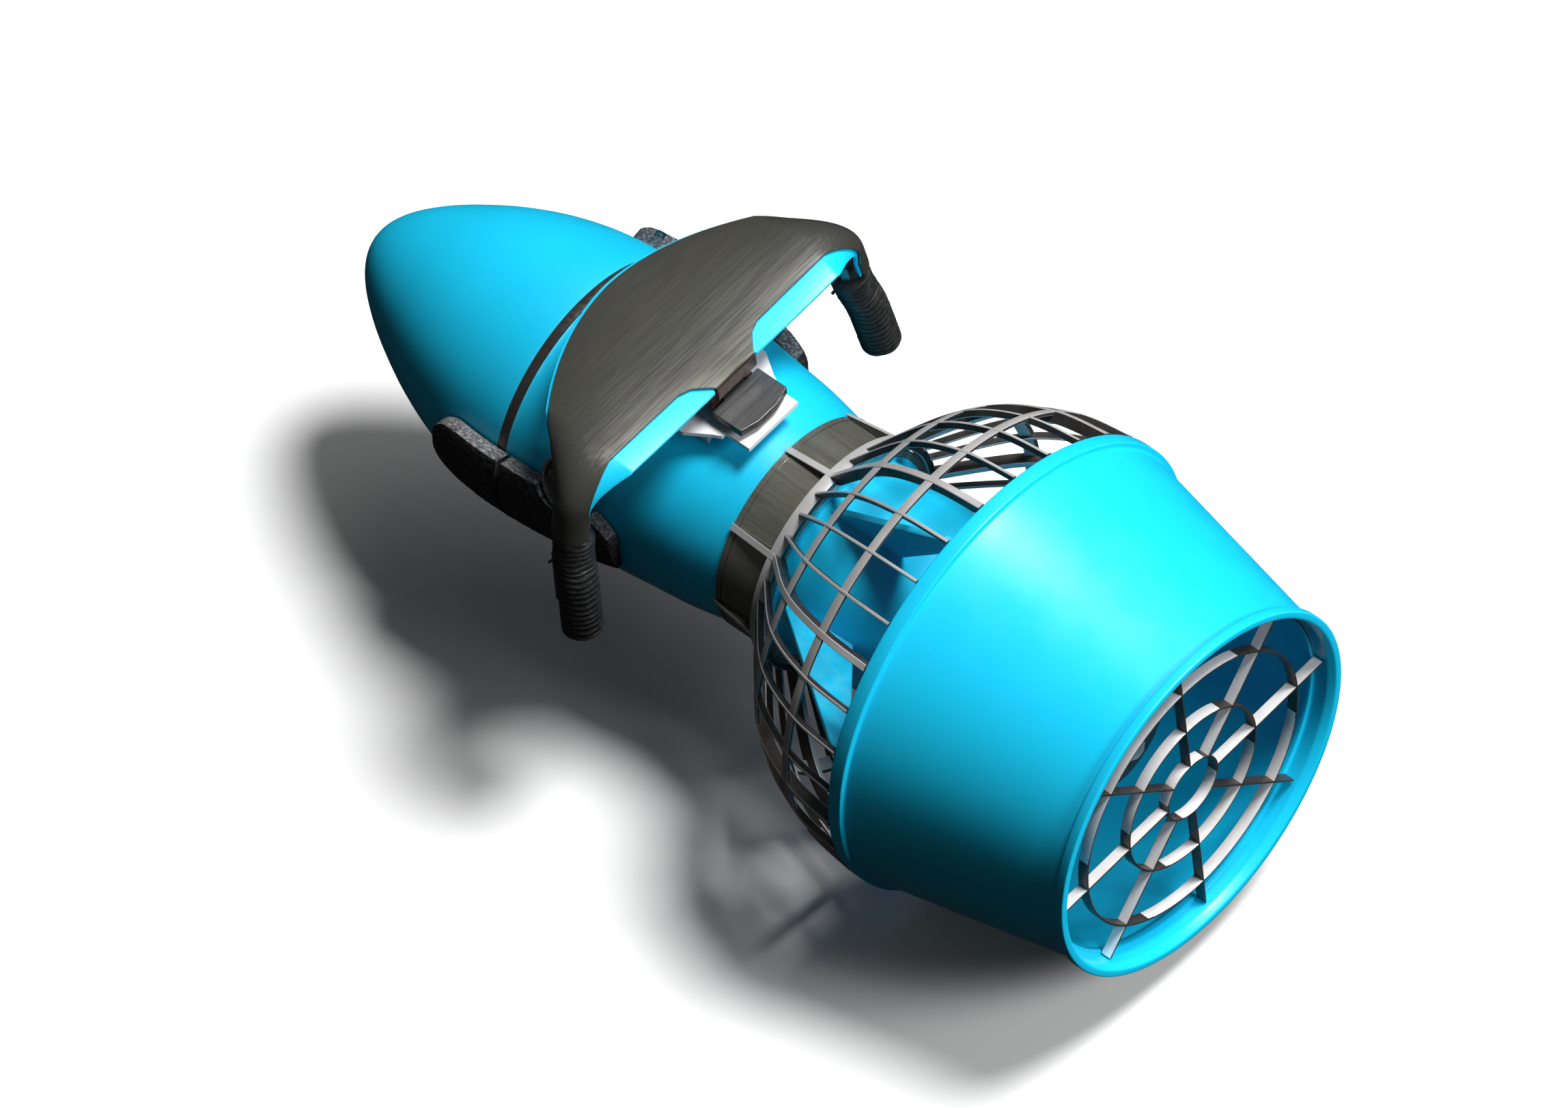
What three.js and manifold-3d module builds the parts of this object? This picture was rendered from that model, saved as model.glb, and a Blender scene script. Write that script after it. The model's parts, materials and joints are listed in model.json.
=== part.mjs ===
// Underwater scooter: a torpedo hull with a ducted propeller, a winged console with two hand grips,
// side bumpers and a pull-off nose that gives access to the battery.
//
// Millimetres, +X towards the nose, +Y to port, +Z up. The sub-parts are drawn about the thrust axis,
// with x = 0 at the rear rim, and the whole group is then moved so that its origin is the middle of
// the footprint at the lowest point.
import * as THREE from 'three';
import { mergeVertices } from 'three/addons/utils/BufferGeometryUtils.js';
import Module from 'manifold-3d';

const wasm = await Module();
wasm.setup();

// ---- driving dimensions -----------------------------------------------------------------------
const LENGTH = 628;                 // rear rim to nose tip
const GAP = 0.3;                    // clearance between pieces that touch
const WALL = 4;                     // moulded shell thickness
const SEGMENTS = 36;                // facets round the hull

const FLANGE = { r: 147.5, x: 152.7, length: 9.5, flat: 145 };
const RIM = { r: 120, x: 6.5, bore: 115.4 };
const DUCT = { rearR: 116.5, frontR: 144, wall: 3.5 };

const HULL_REAR_X = 307.7;          // where the hull shell meets the collar
const SEAM = { x0: 455.6, x1: 461.4, r: 85.2 };
const COLLAR = { x0: 269, x1: 307.4, r: 69.6, bore: 65.2 };
const HULL_STATIONS = [             // axial station and outer radius
  [300, 66.5], [336, 73.2], [360, 75.8], [396, 79.9], [432, 83.9], [462, 85.3],
  [480, 84.5], [504, 81.1], [528, 74.9], [552, 65.8], [576, 53.9], [600, 38.9], [612, 29.2], [628, 0],
];

const CAGE = {
  rings: [[272, 75.5, 8], [232, 119.6, 6], [191, 140.8, 6]],   // station, radius, axial width
  ringThickness: 2.6,
  facets: 32,
  mainRibs: 8, mainWidth: 4.4, mainDepth: 7,
  thinPerBay: 3, thinWidth: 2, thinDepth: 4,
};
const GUARD = { x0: 7, x1: 14, rings: [21, 54, 90], strip: 1.3, spokes: 8, reach: 111.8, lip: 110.4 };
const POD = { x0: 116, x1: 268.4, rearR: 40, midX: 190, midR: 58, frontR: 62 };
const STATOR = { angles: [20, 80, 200, 260], rootX: [272, 214], tipX: [160, 146], tipR: 139.6, t: 4 };
const PROP = { x0: 62, x1: 112, hubR: 37, tipR: 116, bore: 5.2, blades: [62, 182, 302] };
const SHAFT = { r: 5, x0: 48, x1: 252 };

const CONSOLE = {
  topZ: 121.5, bendY: 88, bendR: 40, tipDeg: 80, tipRun: 16, tipLead: 378.3,
  plateT: 1.2, shellT: 2.5, seat: 1,
};
const GRIP = {
  r: 12.5, bore: 8.2, coreR: 7.8,
  route: [                          // centre line, from inside the wing tip to the lower end
    [366, 103.3, 97], [364.8, 111, 93.2], [364.6, 114.4, 86.1], [365, 117.2, 70.4],
    [365, 119.6, 57], [363.6, 121.7, 46], [360.3, 124.4, 32], [357, 128.3, -2], [356.8, 128.6, -5],
  ],
};
const TRIGGER = {
  from: [365, 119.2, 57], to: [357, 128.3, -2], start: 10, length: 36, halfWidth: 4.4, rest: 11.6,
};
const FLAP = { pinX: 347.6, pinZ: 93.4, knuckleR: 2.6, length: 25.1, bow: 3.4, halfWidth: 19.9, t: 5.5 };
const PAD = {
  topT: 10.5, bottomT: 4.5, crown: 2.6, topDeg: 20, bottomDeg: -14, rear: [373, 449.8], nose: [452.2, 507],
};
const KNOB = { x: 406, deg: 26, r: 19, t: 7 };

const CYAN = { color: 0x1cc4f0, roughness: 0.3, metalness: 0 };
const BLACK = { color: 0x161616, roughness: 0.8, metalness: 0 };
const STEEL = { color: 0xb9bcbe, roughness: 0.3, metalness: 1 };
const GREY_METAL = { color: 0x6e6e68, roughness: 0.35, metalness: 0.8 };
const WHITE = { color: 0xe8e8e6, roughness: 0.45, metalness: 0 };
const COPPER = { color: 0xb0743a, roughness: 0.4, metalness: 1 };
const BOARD = { color: 0x1f5a34, roughness: 0.6, metalness: 0 };

const scooter = new THREE.Group();
scooter.position.set(-LENGTH / 2, 0, FLANGE.flat);

// ---- solids -----------------------------------------------------------------------------------
const rad = THREE.MathUtils.degToRad;

// A closed three.js geometry as a manifold solid, whichever way its faces were wound.
function solid(geometry) {
  const bare = geometry.clone();
  bare.deleteAttribute('normal');
  bare.deleteAttribute('uv');
  const merged = mergeVertices(bare, 1e-4);
  const index = merged.index.array;
  const position = merged.attributes.position;
  const corners = [new THREE.Vector3(), new THREE.Vector3(), new THREE.Vector3()];
  const triangles = [];
  let volume = 0;
  for (let i = 0; i < index.length; i += 3) {
    const [a, b, c] = [index[i], index[i + 1], index[i + 2]];
    if (a === b || b === c || c === a) continue;
    triangles.push(a, b, c);
    [a, b, c].forEach((v, k) => corners[k].fromBufferAttribute(position, v));
    volume += corners[0].dot(corners[1].cross(corners[2]));
  }
  if (volume < 0) triangles.reverse();
  return new wasm.Manifold(new wasm.Mesh({
    numProp: 3,
    vertProperties: new Float32Array(position.array),
    triVerts: new Uint32Array(triangles),
  }));
}

function union(parts) {
  return parts.reduce((whole, part) => whole.add(part));
}

// Puts a manifold solid, or a closed geometry, into the scooter as one named mesh.
function add(name, body, finish) {
  const made = body.isBufferGeometry ? solid(body) : body;
  const out = made.getMesh();
  const geometry = new THREE.BufferGeometry();
  geometry.setAttribute('position', new THREE.BufferAttribute(new Float32Array(out.vertProperties), 3));
  geometry.setIndex(new THREE.BufferAttribute(new Uint32Array(out.triVerts), 1));
  geometry.computeVertexNormals();
  const mesh = new THREE.Mesh(geometry, new THREE.MeshStandardMaterial(finish));
  mesh.name = name;
  scooter.add(mesh);
}

// A body of revolution about the thrust axis. The outline is a list of [x, radius] that closes.
function turned(outline, segments = SEGMENTS) {
  const points = outline.map(([x, r]) => new THREE.Vector2(r, x));
  if (outline[0][1] > 0) points.push(points[0].clone());
  return new THREE.LatheGeometry(points, segments).rotateZ(-Math.PI / 2);
}

function ring(x0, x1, inner, outer, segments = SEGMENTS) {
  return turned([[x0, inner], [x0, outer], [x1, outer], [x1, inner]], segments);
}

function disc(x0, x1, r, segments = SEGMENTS) {
  return turned([[x0, 0], [x0, r], [x1, r], [x1, 0]], segments);
}

function box(x0, x1, y0, y1, z0, z1) {
  const geometry = new THREE.BoxGeometry(x1 - x0, y1 - y0, z1 - z0);
  return geometry.translate((x0 + x1) / 2, (y0 + y1) / 2, (z0 + z1) / 2);
}

// A flat plate drawn in the x-radius plane, standing on the thrust axis at an angle about it.
function radialPlate(outline, thickness, degrees) {
  const shape = new THREE.Shape(outline.map(([x, r]) => new THREE.Vector2(x, r)));
  const plate = new THREE.ExtrudeGeometry(shape, { depth: thickness, bevelEnabled: false });
  // the shape's y becomes the radial direction; 0 degrees points to port and 90 degrees up
  return plate.translate(0, 0, -thickness / 2).rotateX(rad(degrees));
}

// A shape drawn in plan (x, y) with its lower and upper height.
function slab(outline, z0, z1) {
  const shape = new THREE.Shape(outline.map(([x, y]) => new THREE.Vector2(x, y)));
  return new THREE.ExtrudeGeometry(shape, { depth: z1 - z0, bevelEnabled: false }).translate(0, 0, z0);
}

// A closed skin over a row of equal-length outlines, with flat ends.
function loft(sections) {
  const count = sections[0].length;
  const vertices = sections.flat(2);
  const index = [];
  for (let s = 0; s + 1 < sections.length; s += 1) {
    for (let i = 0; i < count; i += 1) {
      const a = s * count + i;
      const b = s * count + (i + 1) % count;
      index.push(a, b, a + count, b, b + count, a + count);
    }
  }
  for (const [s, turn] of [[0, true], [sections.length - 1, false]]) {
    const flat = sections[s].map((p) => new THREE.Vector3(...p));
    for (const [a, b, c] of capTriangles(flat)) {
      const face = [a, b, c].map((v) => s * count + v);
      index.push(...(turn ? face.reverse() : face));
    }
  }
  const geometry = new THREE.BufferGeometry();
  geometry.setAttribute('position', new THREE.Float32BufferAttribute(vertices, 3));
  geometry.setIndex(index);
  return geometry;
}

// Triangles of a flat outline in space, wound the way the outline runs.
function capTriangles(flat) {
  const normal = new THREE.Vector3();
  flat.forEach((p, i) => normal.add(p.clone().cross(flat[(i + 1) % flat.length])));
  normal.normalize();
  const side = flat[1].clone().sub(flat[0]).normalize();
  const up = normal.clone().cross(side);
  const drawn = flat.map((p) => new THREE.Vector2(p.dot(side), p.dot(up)));
  return THREE.ShapeUtils.triangulateShape(drawn, []);
}

// A round bar or tube between two points.
function rod(from, to, r, segments = 16) {
  const a = new THREE.Vector3(...from);
  const b = new THREE.Vector3(...to);
  const bar = new THREE.CylinderGeometry(r, r, a.distanceTo(b), segments);
  const along = b.clone().sub(a).normalize();
  const turn = new THREE.Quaternion().setFromUnitVectors(new THREE.Vector3(0, 1, 0), along);
  return bar.applyQuaternion(turn).translate(...a.add(b).multiplyScalar(0.5).toArray());
}

const mirrorY = (body) => body.mirror([0, 1, 0]);

// ---- hull profile -----------------------------------------------------------------------------
// The squared radius is interpolated, which gives the nose tip its round end.
function hullRadius(x) {
  const stations = HULL_STATIONS;
  let k = stations.findIndex(([sx]) => sx > x) - 1;
  if (k < 0) k = x >= LENGTH ? stations.length - 2 : 0;
  const at = (i) => stations[Math.min(Math.max(i, 0), stations.length - 1)];
  const slope = (i) => {
    const [xa, ra] = at(i - 1);
    const [xb, rb] = at(i + 1);
    return (rb * rb - ra * ra) / (xb - xa);
  };
  const [x0, r0] = at(k);
  const [x1, r1] = at(k + 1);
  const span = x1 - x0;
  const t = Math.min(Math.max((x - x0) / span, 0), 1);
  const squared = (2 * t ** 3 - 3 * t ** 2 + 1) * r0 * r0 + (t ** 3 - 2 * t ** 2 + t) * span * slope(k)
    + (3 * t ** 2 - 2 * t ** 3) * r1 * r1 + (t ** 3 - t ** 2) * span * slope(k + 1);
  return Math.sqrt(Math.max(squared, 0));
}

function hullLine(x0, x1, steps, inset = 0) {
  const line = [];
  for (let i = 0; i <= steps; i += 1) {
    const x = x0 + (x1 - x0) * (i / steps);
    line.push([x, Math.max(hullRadius(x) - inset, 0)]);
  }
  return line;
}

// ---- shroud, guard and cage -------------------------------------------------------------------
function makeShroud() {
  const backOfFlange = FLANGE.x - FLANGE.length;
  const duct = turned([
    [0, RIM.bore], [0, RIM.r], [RIM.x, RIM.r], [RIM.x, DUCT.rearR],
    [backOfFlange, DUCT.frontR], [backOfFlange, FLANGE.r], [FLANGE.x, FLANGE.r],
    [FLANGE.x, DUCT.frontR - 3], [backOfFlange, DUCT.frontR - DUCT.wall],
    [GUARD.x1 + 8, DUCT.rearR + 1.4 - DUCT.wall], [GUARD.x1 + 4, GUARD.lip],
    [GUARD.x1 + GAP, GUARD.lip], [GUARD.x1 + GAP, GUARD.reach + 1.2],
    [5, GUARD.reach + 1.2],
  ]);
  const below = box(-1, FLANGE.x + 1, -60, 60, -FLANGE.flat - 20, -FLANGE.flat);
  add('shroud', solid(duct).subtract(solid(below)), CYAN);
}

function makeGuard() {
  const half = GUARD.strip / 2;
  const parts = GUARD.rings.map((r) => solid(ring(GUARD.x0, GUARD.x1, r - half, r + half, 32)));
  for (let i = 0; i < GUARD.spokes; i += 1) {
    const inner = GUARD.rings[0];
    const spoke = radialPlate([
      [GUARD.x0, inner], [GUARD.x1, inner], [GUARD.x1, GUARD.reach], [GUARD.x0, GUARD.reach],
    ], GUARD.strip, (360 / GUARD.spokes) * i);
    parts.push(solid(spoke));
  }
  add('rear_guard', union(parts), STEEL);
}

// Points [x, radius] along the dome of the cage, moved inwards by a depth.
function domeLine(depth, steps = 5) {
  const nodes = CAGE.rings.map(([x, r]) => new THREE.Vector2(x, r));
  nodes.push(new THREE.Vector2(FLANGE.x + GAP, FLANGE.r - 0.2));
  const curve = new THREE.SplineCurve(nodes);
  const line = [];
  for (let i = 0; i <= steps; i += 1) {
    const at = curve.getPoint(i / steps);
    const along = curve.getTangent(i / steps);
    line.push([at.x - along.y * depth, at.y + along.x * depth]);
  }
  line[steps][0] = FLANGE.x + GAP;
  return line;
}

function makeCage() {
  const [frontX, frontR, frontWidth] = CAGE.rings[0];
  const seat = COLLAR.r + GAP + 0.5;
  const parts = [solid(ring(frontX - frontWidth / 2, frontX + frontWidth / 2, seat, frontR, CAGE.facets))];
  for (const [x, r, width] of CAGE.rings.slice(1)) {
    const lean = (width / 2) * (r > 130 ? 0.35 : 0.75);
    parts.push(solid(turned([
      [x - width / 2, r + lean - CAGE.ringThickness], [x - width / 2, r + lean],
      [x + width / 2, r - lean], [x + width / 2, r - lean - CAGE.ringThickness],
    ], CAGE.facets)));
  }
  const perBay = CAGE.thinPerBay + 1;
  const total = CAGE.mainRibs * perBay;
  for (let i = 0; i < total; i += 1) {
    const main = i % perBay === 0;
    const width = main ? CAGE.mainWidth : CAGE.thinWidth;
    const inner = domeLine(main ? CAGE.mainDepth : CAGE.thinDepth);
    inner[0] = [frontX, seat + 0.5];
    const angle = (360 / total) * i;
    parts.push(solid(radialPlate([...domeLine(-0.4), ...inner.reverse()], width, angle)));
    if (!main) continue;
    parts.push(solid(radialPlate([
      [frontX, seat], [COLLAR.x1, seat], [COLLAR.x1, seat + 0.8], [frontX, frontR + 0.4],
    ], width, angle)));
  }
  const below = box(0, 400, -60, 60, -FLANGE.flat - 20, -FLANGE.flat + GAP);
  add('intake_cage', union(parts).subtract(solid(below)), GREY_METAL);
}

function makeCollar() {
  add('collar', ring(COLLAR.x0, COLLAR.x1, COLLAR.bore, COLLAR.r), GREY_METAL);
}

// ---- drive ------------------------------------------------------------------------------------
function makePod() {
  const skin = turned([
    [POD.x0, 14], [POD.x0, POD.rearR], [150, 50.5], [POD.midX, POD.midR], [230, 61.2],
    [POD.x1, POD.frontR], [COLLAR.x0, COLLAR.bore - GAP], [288, COLLAR.bore - GAP],
    [288, COLLAR.bore - 5], [COLLAR.x0, POD.frontR - 4], [230, 57.2], [POD.midX, 54],
    [150, 46.5], [POD.x0 + 4, 36], [POD.x0 + 4, 14],
  ]);
  const vane = [
    [STATOR.rootX[0] - 4, POD.frontR - 2.5], [STATOR.tipX[0], STATOR.tipR], [STATOR.tipX[1], STATOR.tipR],
    [STATOR.rootX[1], POD.midR + 0.5],
  ];
  const parts = [solid(skin)];
  for (const angle of STATOR.angles) parts.push(solid(radialPlate(vane, STATOR.t, angle)));
  add('motor_pod', union(parts), CYAN);
}

function makeDrive() {
  add('motor_bulkhead', ring(255, 261, 16, 56, 24), STEEL);
  add('motor_can', turned([
    [170, 15], [170, 40], [248, 40], [248, 12.4], [245, 12.4], [245, 36], [173, 36], [173, 15],
  ], 24), BLACK);
  add('motor_magnets', ring(182, 236, 32.5, 35.4, 24), GREY_METAL);
  add('motor_rotor', ring(180, 238, SHAFT.r + GAP, 31.5, 24), COPPER);
  add('front_bearing', ring(240, 244.6, SHAFT.r + GAP, 11.5, 16), STEEL);
  add('rear_bearing', ring(160, 169, SHAFT.r + GAP, 14.5, 16), STEEL);
  add('shaft_seal', ring(POD.x0 + 0.5, POD.x0 + 8, SHAFT.r + GAP, 13.6, 16), BLACK);
  add('prop_washer', ring(57.6, 60.6, SHAFT.r + GAP, 12, 16), STEEL);
  const nut = solid(disc(51, 57.3, 9.5, 6)).subtract(solid(disc(50, 58, SHAFT.r + GAP, 24)));
  add('prop_nut', nut, STEEL);
}

// One blade: flat sections set at a pitch that eases towards the tip.
function bladeSections() {
  const sections = [];
  const stations = [[PROP.hubR - 6, 30, 46], [60, 36, 34], [88, 34, 26], [106, 24, 22], [PROP.tipR, 9, 20]];
  for (const [r, chord, pitch] of stations) {
    const thick = 5.5 - (3.5 * r) / PROP.tipR;
    const cos = Math.cos(rad(pitch));
    const sin = Math.sin(rad(pitch));
    const outline = [[-0.5, 0], [-0.25, 0.5], [0.25, 0.5], [0.5, 0], [0.25, -0.5], [-0.25, -0.5]];
    sections.push(outline.map(([c, t]) => {
      const along = c * chord;
      const off = t * thick;
      return [87 + along * sin + off * cos, along * cos - off * sin, r];
    }));
  }
  return sections;
}

function makePropeller() {
  const hub = solid(turned([
    [PROP.x0 - 1, PROP.bore + GAP], [PROP.x0 - 1, PROP.hubR - 1.5], [PROP.x0 + 0.5, PROP.hubR],
    [PROP.x1, PROP.hubR + 1], [PROP.x1, PROP.bore + GAP],
  ], 32));
  const parts = [hub];
  for (const angle of PROP.blades) parts.push(solid(loft(bladeSections()).rotateX(rad(angle - 90))));
  const pinBore = solid(rod([80, 0, -24], [80, 0, 24], 2.4, 12));
  add('propeller', union(parts).subtract(pinBore), BLACK);
  add('shear_pin', rod([80, 0, -22], [80, 0, 22], 1.9, 12), STEEL);
  add('drive_shaft', solid(disc(SHAFT.x0, SHAFT.x1, SHAFT.r, 24)).subtract(pinBore), STEEL);
}

// ---- hull, nose and battery -------------------------------------------------------------------
function makeHull() {
  const spigot = COLLAR.bore - GAP;
  const outer = hullLine(HULL_REAR_X, SEAM.x0 - GAP, 6);
  const inner = hullLine(SEAM.x0 - GAP, 330, 4, WALL);
  const skin = turned([
    [289, spigot - 5], [289, spigot], [HULL_REAR_X, spigot], ...outer, ...inner, [318, 62], [318, 20],
    [312, 20], [312, spigot - 5],
  ]);
  const bores = [];
  for (const side of [1, -1]) {
    const out = radialAt(KNOB.x, side > 0 ? KNOB.deg : 180 - KNOB.deg);
    bores.push(solid(rod(out(60), out(100), 5.2, 16)));
  }
  add('main_hull', solid(skin).subtract(union(bores)), CYAN);
}

// Point at a radius on the line that leaves the thrust axis at one station and angle.
function radialAt(x, degrees) {
  return (r) => [x, r * Math.cos(rad(degrees)), r * Math.sin(rad(degrees))];
}

function makeNose() {
  const spigotR = hullRadius(428) - WALL - 0.8;
  const outer = [];
  const steps = 10;
  for (let i = 0; i <= steps; i += 1) {
    const x = SEAM.x1 + GAP + (LENGTH - SEAM.x1 - GAP) * Math.sin((i / steps) * Math.PI / 2);
    outer.push([x, i === steps ? 0 : hullRadius(x)]);
  }
  const inner = [];
  for (let i = 0; i <= 4; i += 1) {
    const x = 616 - (616 - 480) * Math.sin((i / 4) * Math.PI / 2);
    inner.push([x, i === 0 ? 0 : hullRadius(x + 4) - WALL]);
  }
  const skin = turned([
    ...outer, ...inner, [428, spigotR - 3.4], [428, spigotR], [SEAM.x1 + GAP, spigotR],
  ].reverse());
  add('nose_cone', skin, CYAN);
  add('seam_band', ring(SEAM.x0, SEAM.x1, spigotR + GAP, SEAM.r + 0.5), GREY_METAL);
}

function makeBattery() {
  add('battery_pack', box(324, 434, -40, 40, -46, 28), BLACK);
  const foot = solid(box(330, 428, -44, 44, -60, -46.4)).intersect(solid(disc(325, 433, 66)));
  add('battery_foot', foot, BLACK);
  for (const [name, y] of [['positive', 18], ['negative', -18]]) {
    add(`terminal_${name}`, disc(318.6, 323.6, 5, 12).translate(0, y, 12), COPPER);
  }
  const strapInside = solid(box(369, 391, -40.3, 40.3, -47, 28.3));
  const strap = solid(box(370, 390, -42, 42, -46, 30)).subtract(strapInside);
  add('battery_strap', strap, BLACK);
  add('ballast', solid(ring(486, 520, 20, 66)).subtract(solid(box(480, 530, -90, 90, -12, 90))), STEEL);
  add('speed_controller', box(294, 311, -26, 26, 24, 27), BOARD);
}

// ---- console ----------------------------------------------------------------------------------
// The wing's route from the centreline outwards: [y, z, tilt] of its outer face, then down the bend.
function wingRoute() {
  const { topZ, bendY, bendR, tipDeg, tipRun } = CONSOLE;
  const route = [0, 8, 16, 17, 25, 33, 56, bendY].map((y) => [y, topZ, 0]);
  const bends = 5;
  for (let i = 1; i <= bends; i += 1) {
    const tilt = (tipDeg * i) / bends;
    route.push([bendY + bendR * Math.sin(rad(tilt)), topZ - bendR * (1 - Math.cos(rad(tilt))), tilt]);
  }
  const [y, z] = route[route.length - 1];
  route.push([y + tipRun * Math.cos(rad(tipDeg)), z - tipRun * Math.sin(rad(tipDeg)), tipDeg]);
  return route;
}

// Chord of the wing at a span position: its middle station, its half length and its wrap angle.
function wingChord(y, tilt) {
  const lead = Math.max(442 - 0.0042 * y * y, CONSOLE.tipLead);
  const trail = y < 90 ? 341 : 341 + (y - 90) * 0.29;
  const wrap = tilt === 0 ? 9 + y / 10 : 18 + (tilt / CONSOLE.tipDeg) * 76;
  return { mid: (lead + trail) / 2, half: (lead - trail) / 2, wrap };
}

// A strip of the wing as lofted arcs: it lies `lift` outside the wing's face and is `thick` deep.
function wingStrip(lift, thick, trim, route) {
  const sections = [];
  const arcSteps = 6;
  const sides = [...route.slice(1).reverse().map(([y, z, tilt]) => [-y, z, -tilt]), ...route];
  for (const [y, z, tilt] of sides) {
    const chord = wingChord(Math.abs(y), Math.abs(tilt));
    const [front, back] = trim(Math.abs(y));
    const radius = chord.half / Math.sin(rad(Math.min(chord.wrap, 90)));
    const from = -rad(chord.wrap) + back / radius;
    const to = rad(chord.wrap) - front / radius;
    const place = (angle, r) => {
      const up = r * Math.cos(angle) - radius;
      return [
        chord.mid + r * Math.sin(angle), y + up * Math.sin(rad(tilt)), z + up * Math.cos(rad(tilt)),
      ];
    };
    const outline = [];
    for (let i = 0; i <= arcSteps; i += 1) {
      outline.push(place(from + (to - from) * (i / arcSteps), radius + lift));
    }
    for (let i = arcSteps; i >= 0; i -= 1) {
      outline.push(place(from + (to - from) * (i / arcSteps), radius + lift - thick));
    }
    sections.push(outline);
  }
  return loft(sections);
}

// How far the metal plate stops short of the shell's front and back edges.
function plateTrim(y) {
  const front = 3.5;
  if (y < 16.5) return [front, 0.5];
  if (y < 30) return [front, 11];
  return [front, Math.max(14.5 - Math.max(y - 95, 0) * 0.5, 2)];
}

function makeConsole() {
  const route = wingRoute();
  const { plateT, shellT, seat } = CONSOLE;
  add('console_shell', wingStrip(-plateT - seat, shellT, (y) => [0, y < 16.5 ? 2.8 : 0], route), CYAN);
  add('console_plate', wingStrip(0, plateT, plateTrim, route), GREY_METAL);
  add('console_riser', box(364, 416, -30, 30, 86.4, 113.6), BLACK);
  add('display_board', box(350, 362, -24, 24, 106, 108.5), BOARD);
}

function makeBracket() {
  const outline = [[316, 21], [334, 21], [334, 24], [339.3, 26.6], [353.5, 35.7], [372, 40], [418, 40]];
  const plan = [...outline, ...outline.map(([x, y]) => [x, -y]).reverse()];
  const hull = turned([...hullLine(310, 430, 8, -GAP), [430, 0], [310, 0]]);
  const wall = solid(box(345, 415, 22, 25, 60, 83.5));
  const block = union([solid(slab(plan, 83, 86)), wall, mirrorY(wall)]).subtract(solid(hull));
  add('saddle_bracket', block, WHITE);
  add('charge_socket', ring(0, 3.6, 2.4, 6, 16).rotateY(-Math.PI / 2).translate(328, 0, 86.4), BLACK);
}

function makeFlap() {
  const { pinX, pinZ, knuckleR, length, bow, halfWidth, t } = FLAP;
  const knuckleY = 9;
  const front = 2.9;
  const outline = [
    [0, knuckleY], [-front, knuckleY], [-front, halfWidth], [-length, halfWidth], [-length - bow, 7.4],
  ];
  const plan = [...outline, ...outline.map(([x, y]) => [x, -y]).reverse()].reverse();
  const leaf = slab(plan, knuckleR - t, knuckleR).translate(pinX, 0, pinZ);
  const knuckle = rod([pinX, -knuckleY, pinZ], [pinX, knuckleY, pinZ], knuckleR, 16);
  const bore = solid(rod([pinX, -40, pinZ], [pinX, 40, pinZ], 1.5, 12));
  add('rear_flap', solid(leaf).add(solid(knuckle)).subtract(bore), GREY_METAL);
  const wall = box(340.8, 343.2, -16, 16, 106.4, 115.4);
  const block = [solid(wall), solid(box(343, 349.6, -16, 16, 106.4, 110.6))];
  for (const side of [1, -1]) {
    const eye = rod([pinX, 9.4, pinZ], [pinX, 16, pinZ], 2.3, 16);
    const post = box(pinX + 0.4, 349.6, 9.4, 16, pinZ, 107);
    const ear = solid(eye).add(solid(post));
    block.push(side > 0 ? ear : mirrorY(ear));
  }
  add('hinge_block', union(block).subtract(bore), { color: 0x3a2418, roughness: 0.6, metalness: 0 });
  add('hinge_pin', rod([pinX, -15.8, pinZ], [pinX, 15.8, pinZ], 1.2, 12), STEEL);
}

// ---- handles ----------------------------------------------------------------------------------
// A round bar swept along a smooth route, from one share of its length to another.
function swept(route, r, from, to, steps, sides) {
  const whole = new THREE.CatmullRomCurve3(route.map((p) => new THREE.Vector3(...p)));
  const part = new THREE.CatmullRomCurve3(
    Array.from({ length: steps + 1 }, (_, i) => whole.getPointAt(from + (to - from) * (i / steps))));
  const section = new THREE.Shape();
  section.absarc(0, 0, r, 0, Math.PI * 2);
  return new THREE.ExtrudeGeometry(section, { steps, extrudePath: part, curveSegments: sides });
}

// Moves a body drawn with +X forward, +Z up the grip and its origin on the grip's centre line.
function onGrip(body, along) {
  const from = new THREE.Vector3(...TRIGGER.from);
  const up = from.clone().sub(new THREE.Vector3(...TRIGGER.to)).normalize();
  const side = up.clone().cross(new THREE.Vector3(1, 0, 0)).normalize();
  const forward = side.clone().cross(up);
  const origin = from.addScaledVector(up, -along);
  return body.applyMatrix4(new THREE.Matrix4().makeBasis(forward, side, up).setPosition(origin));
}

function makeHandle(side, name) {
  const put = (node, body, finish) => {
    const made = body.isBufferGeometry ? solid(body) : body;
    add(`${name}_${node}`, side > 0 ? made : mirrorY(made), finish);
  };
  const { start, length, halfWidth, rest } = TRIGGER;
  const pinBore = solid(onGrip(rod([rest + 1.6, -20, 0], [rest + 1.6, 20, 0], 1.35, 12), start + 4));
  const slotHalf = halfWidth + 0.6;
  const slot = solid(onGrip(box(GRIP.coreR + 0.6, 24, -slotHalf, slotHalf, -length - 1, 1), start));
  const sleeve = solid(swept(GRIP.route, GRIP.r, 0.32, 1, 6, 7))
    .subtract(solid(swept(GRIP.route, GRIP.bore, 0.2, 0.965, 8, 5)))
    .subtract(slot).subtract(pinBore);
  put('grip', sleeve, BLACK);
  put('handle_core', swept(GRIP.route, GRIP.coreR - 0.2, 0, 0.96, 10, 5), STEEL);
  const bar = solid(onGrip(box(rest, rest + 3.2, -halfWidth, halfWidth, -length, 0), start));
  const lever = bar.subtract(pinBore);
  put('trigger', lever, GREY_METAL);
  put('trigger_pin', onGrip(rod([rest + 1.6, -8.6, 0], [rest + 1.6, 8.6, 0], 1.05, 12), start + 4), STEEL);
}

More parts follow.
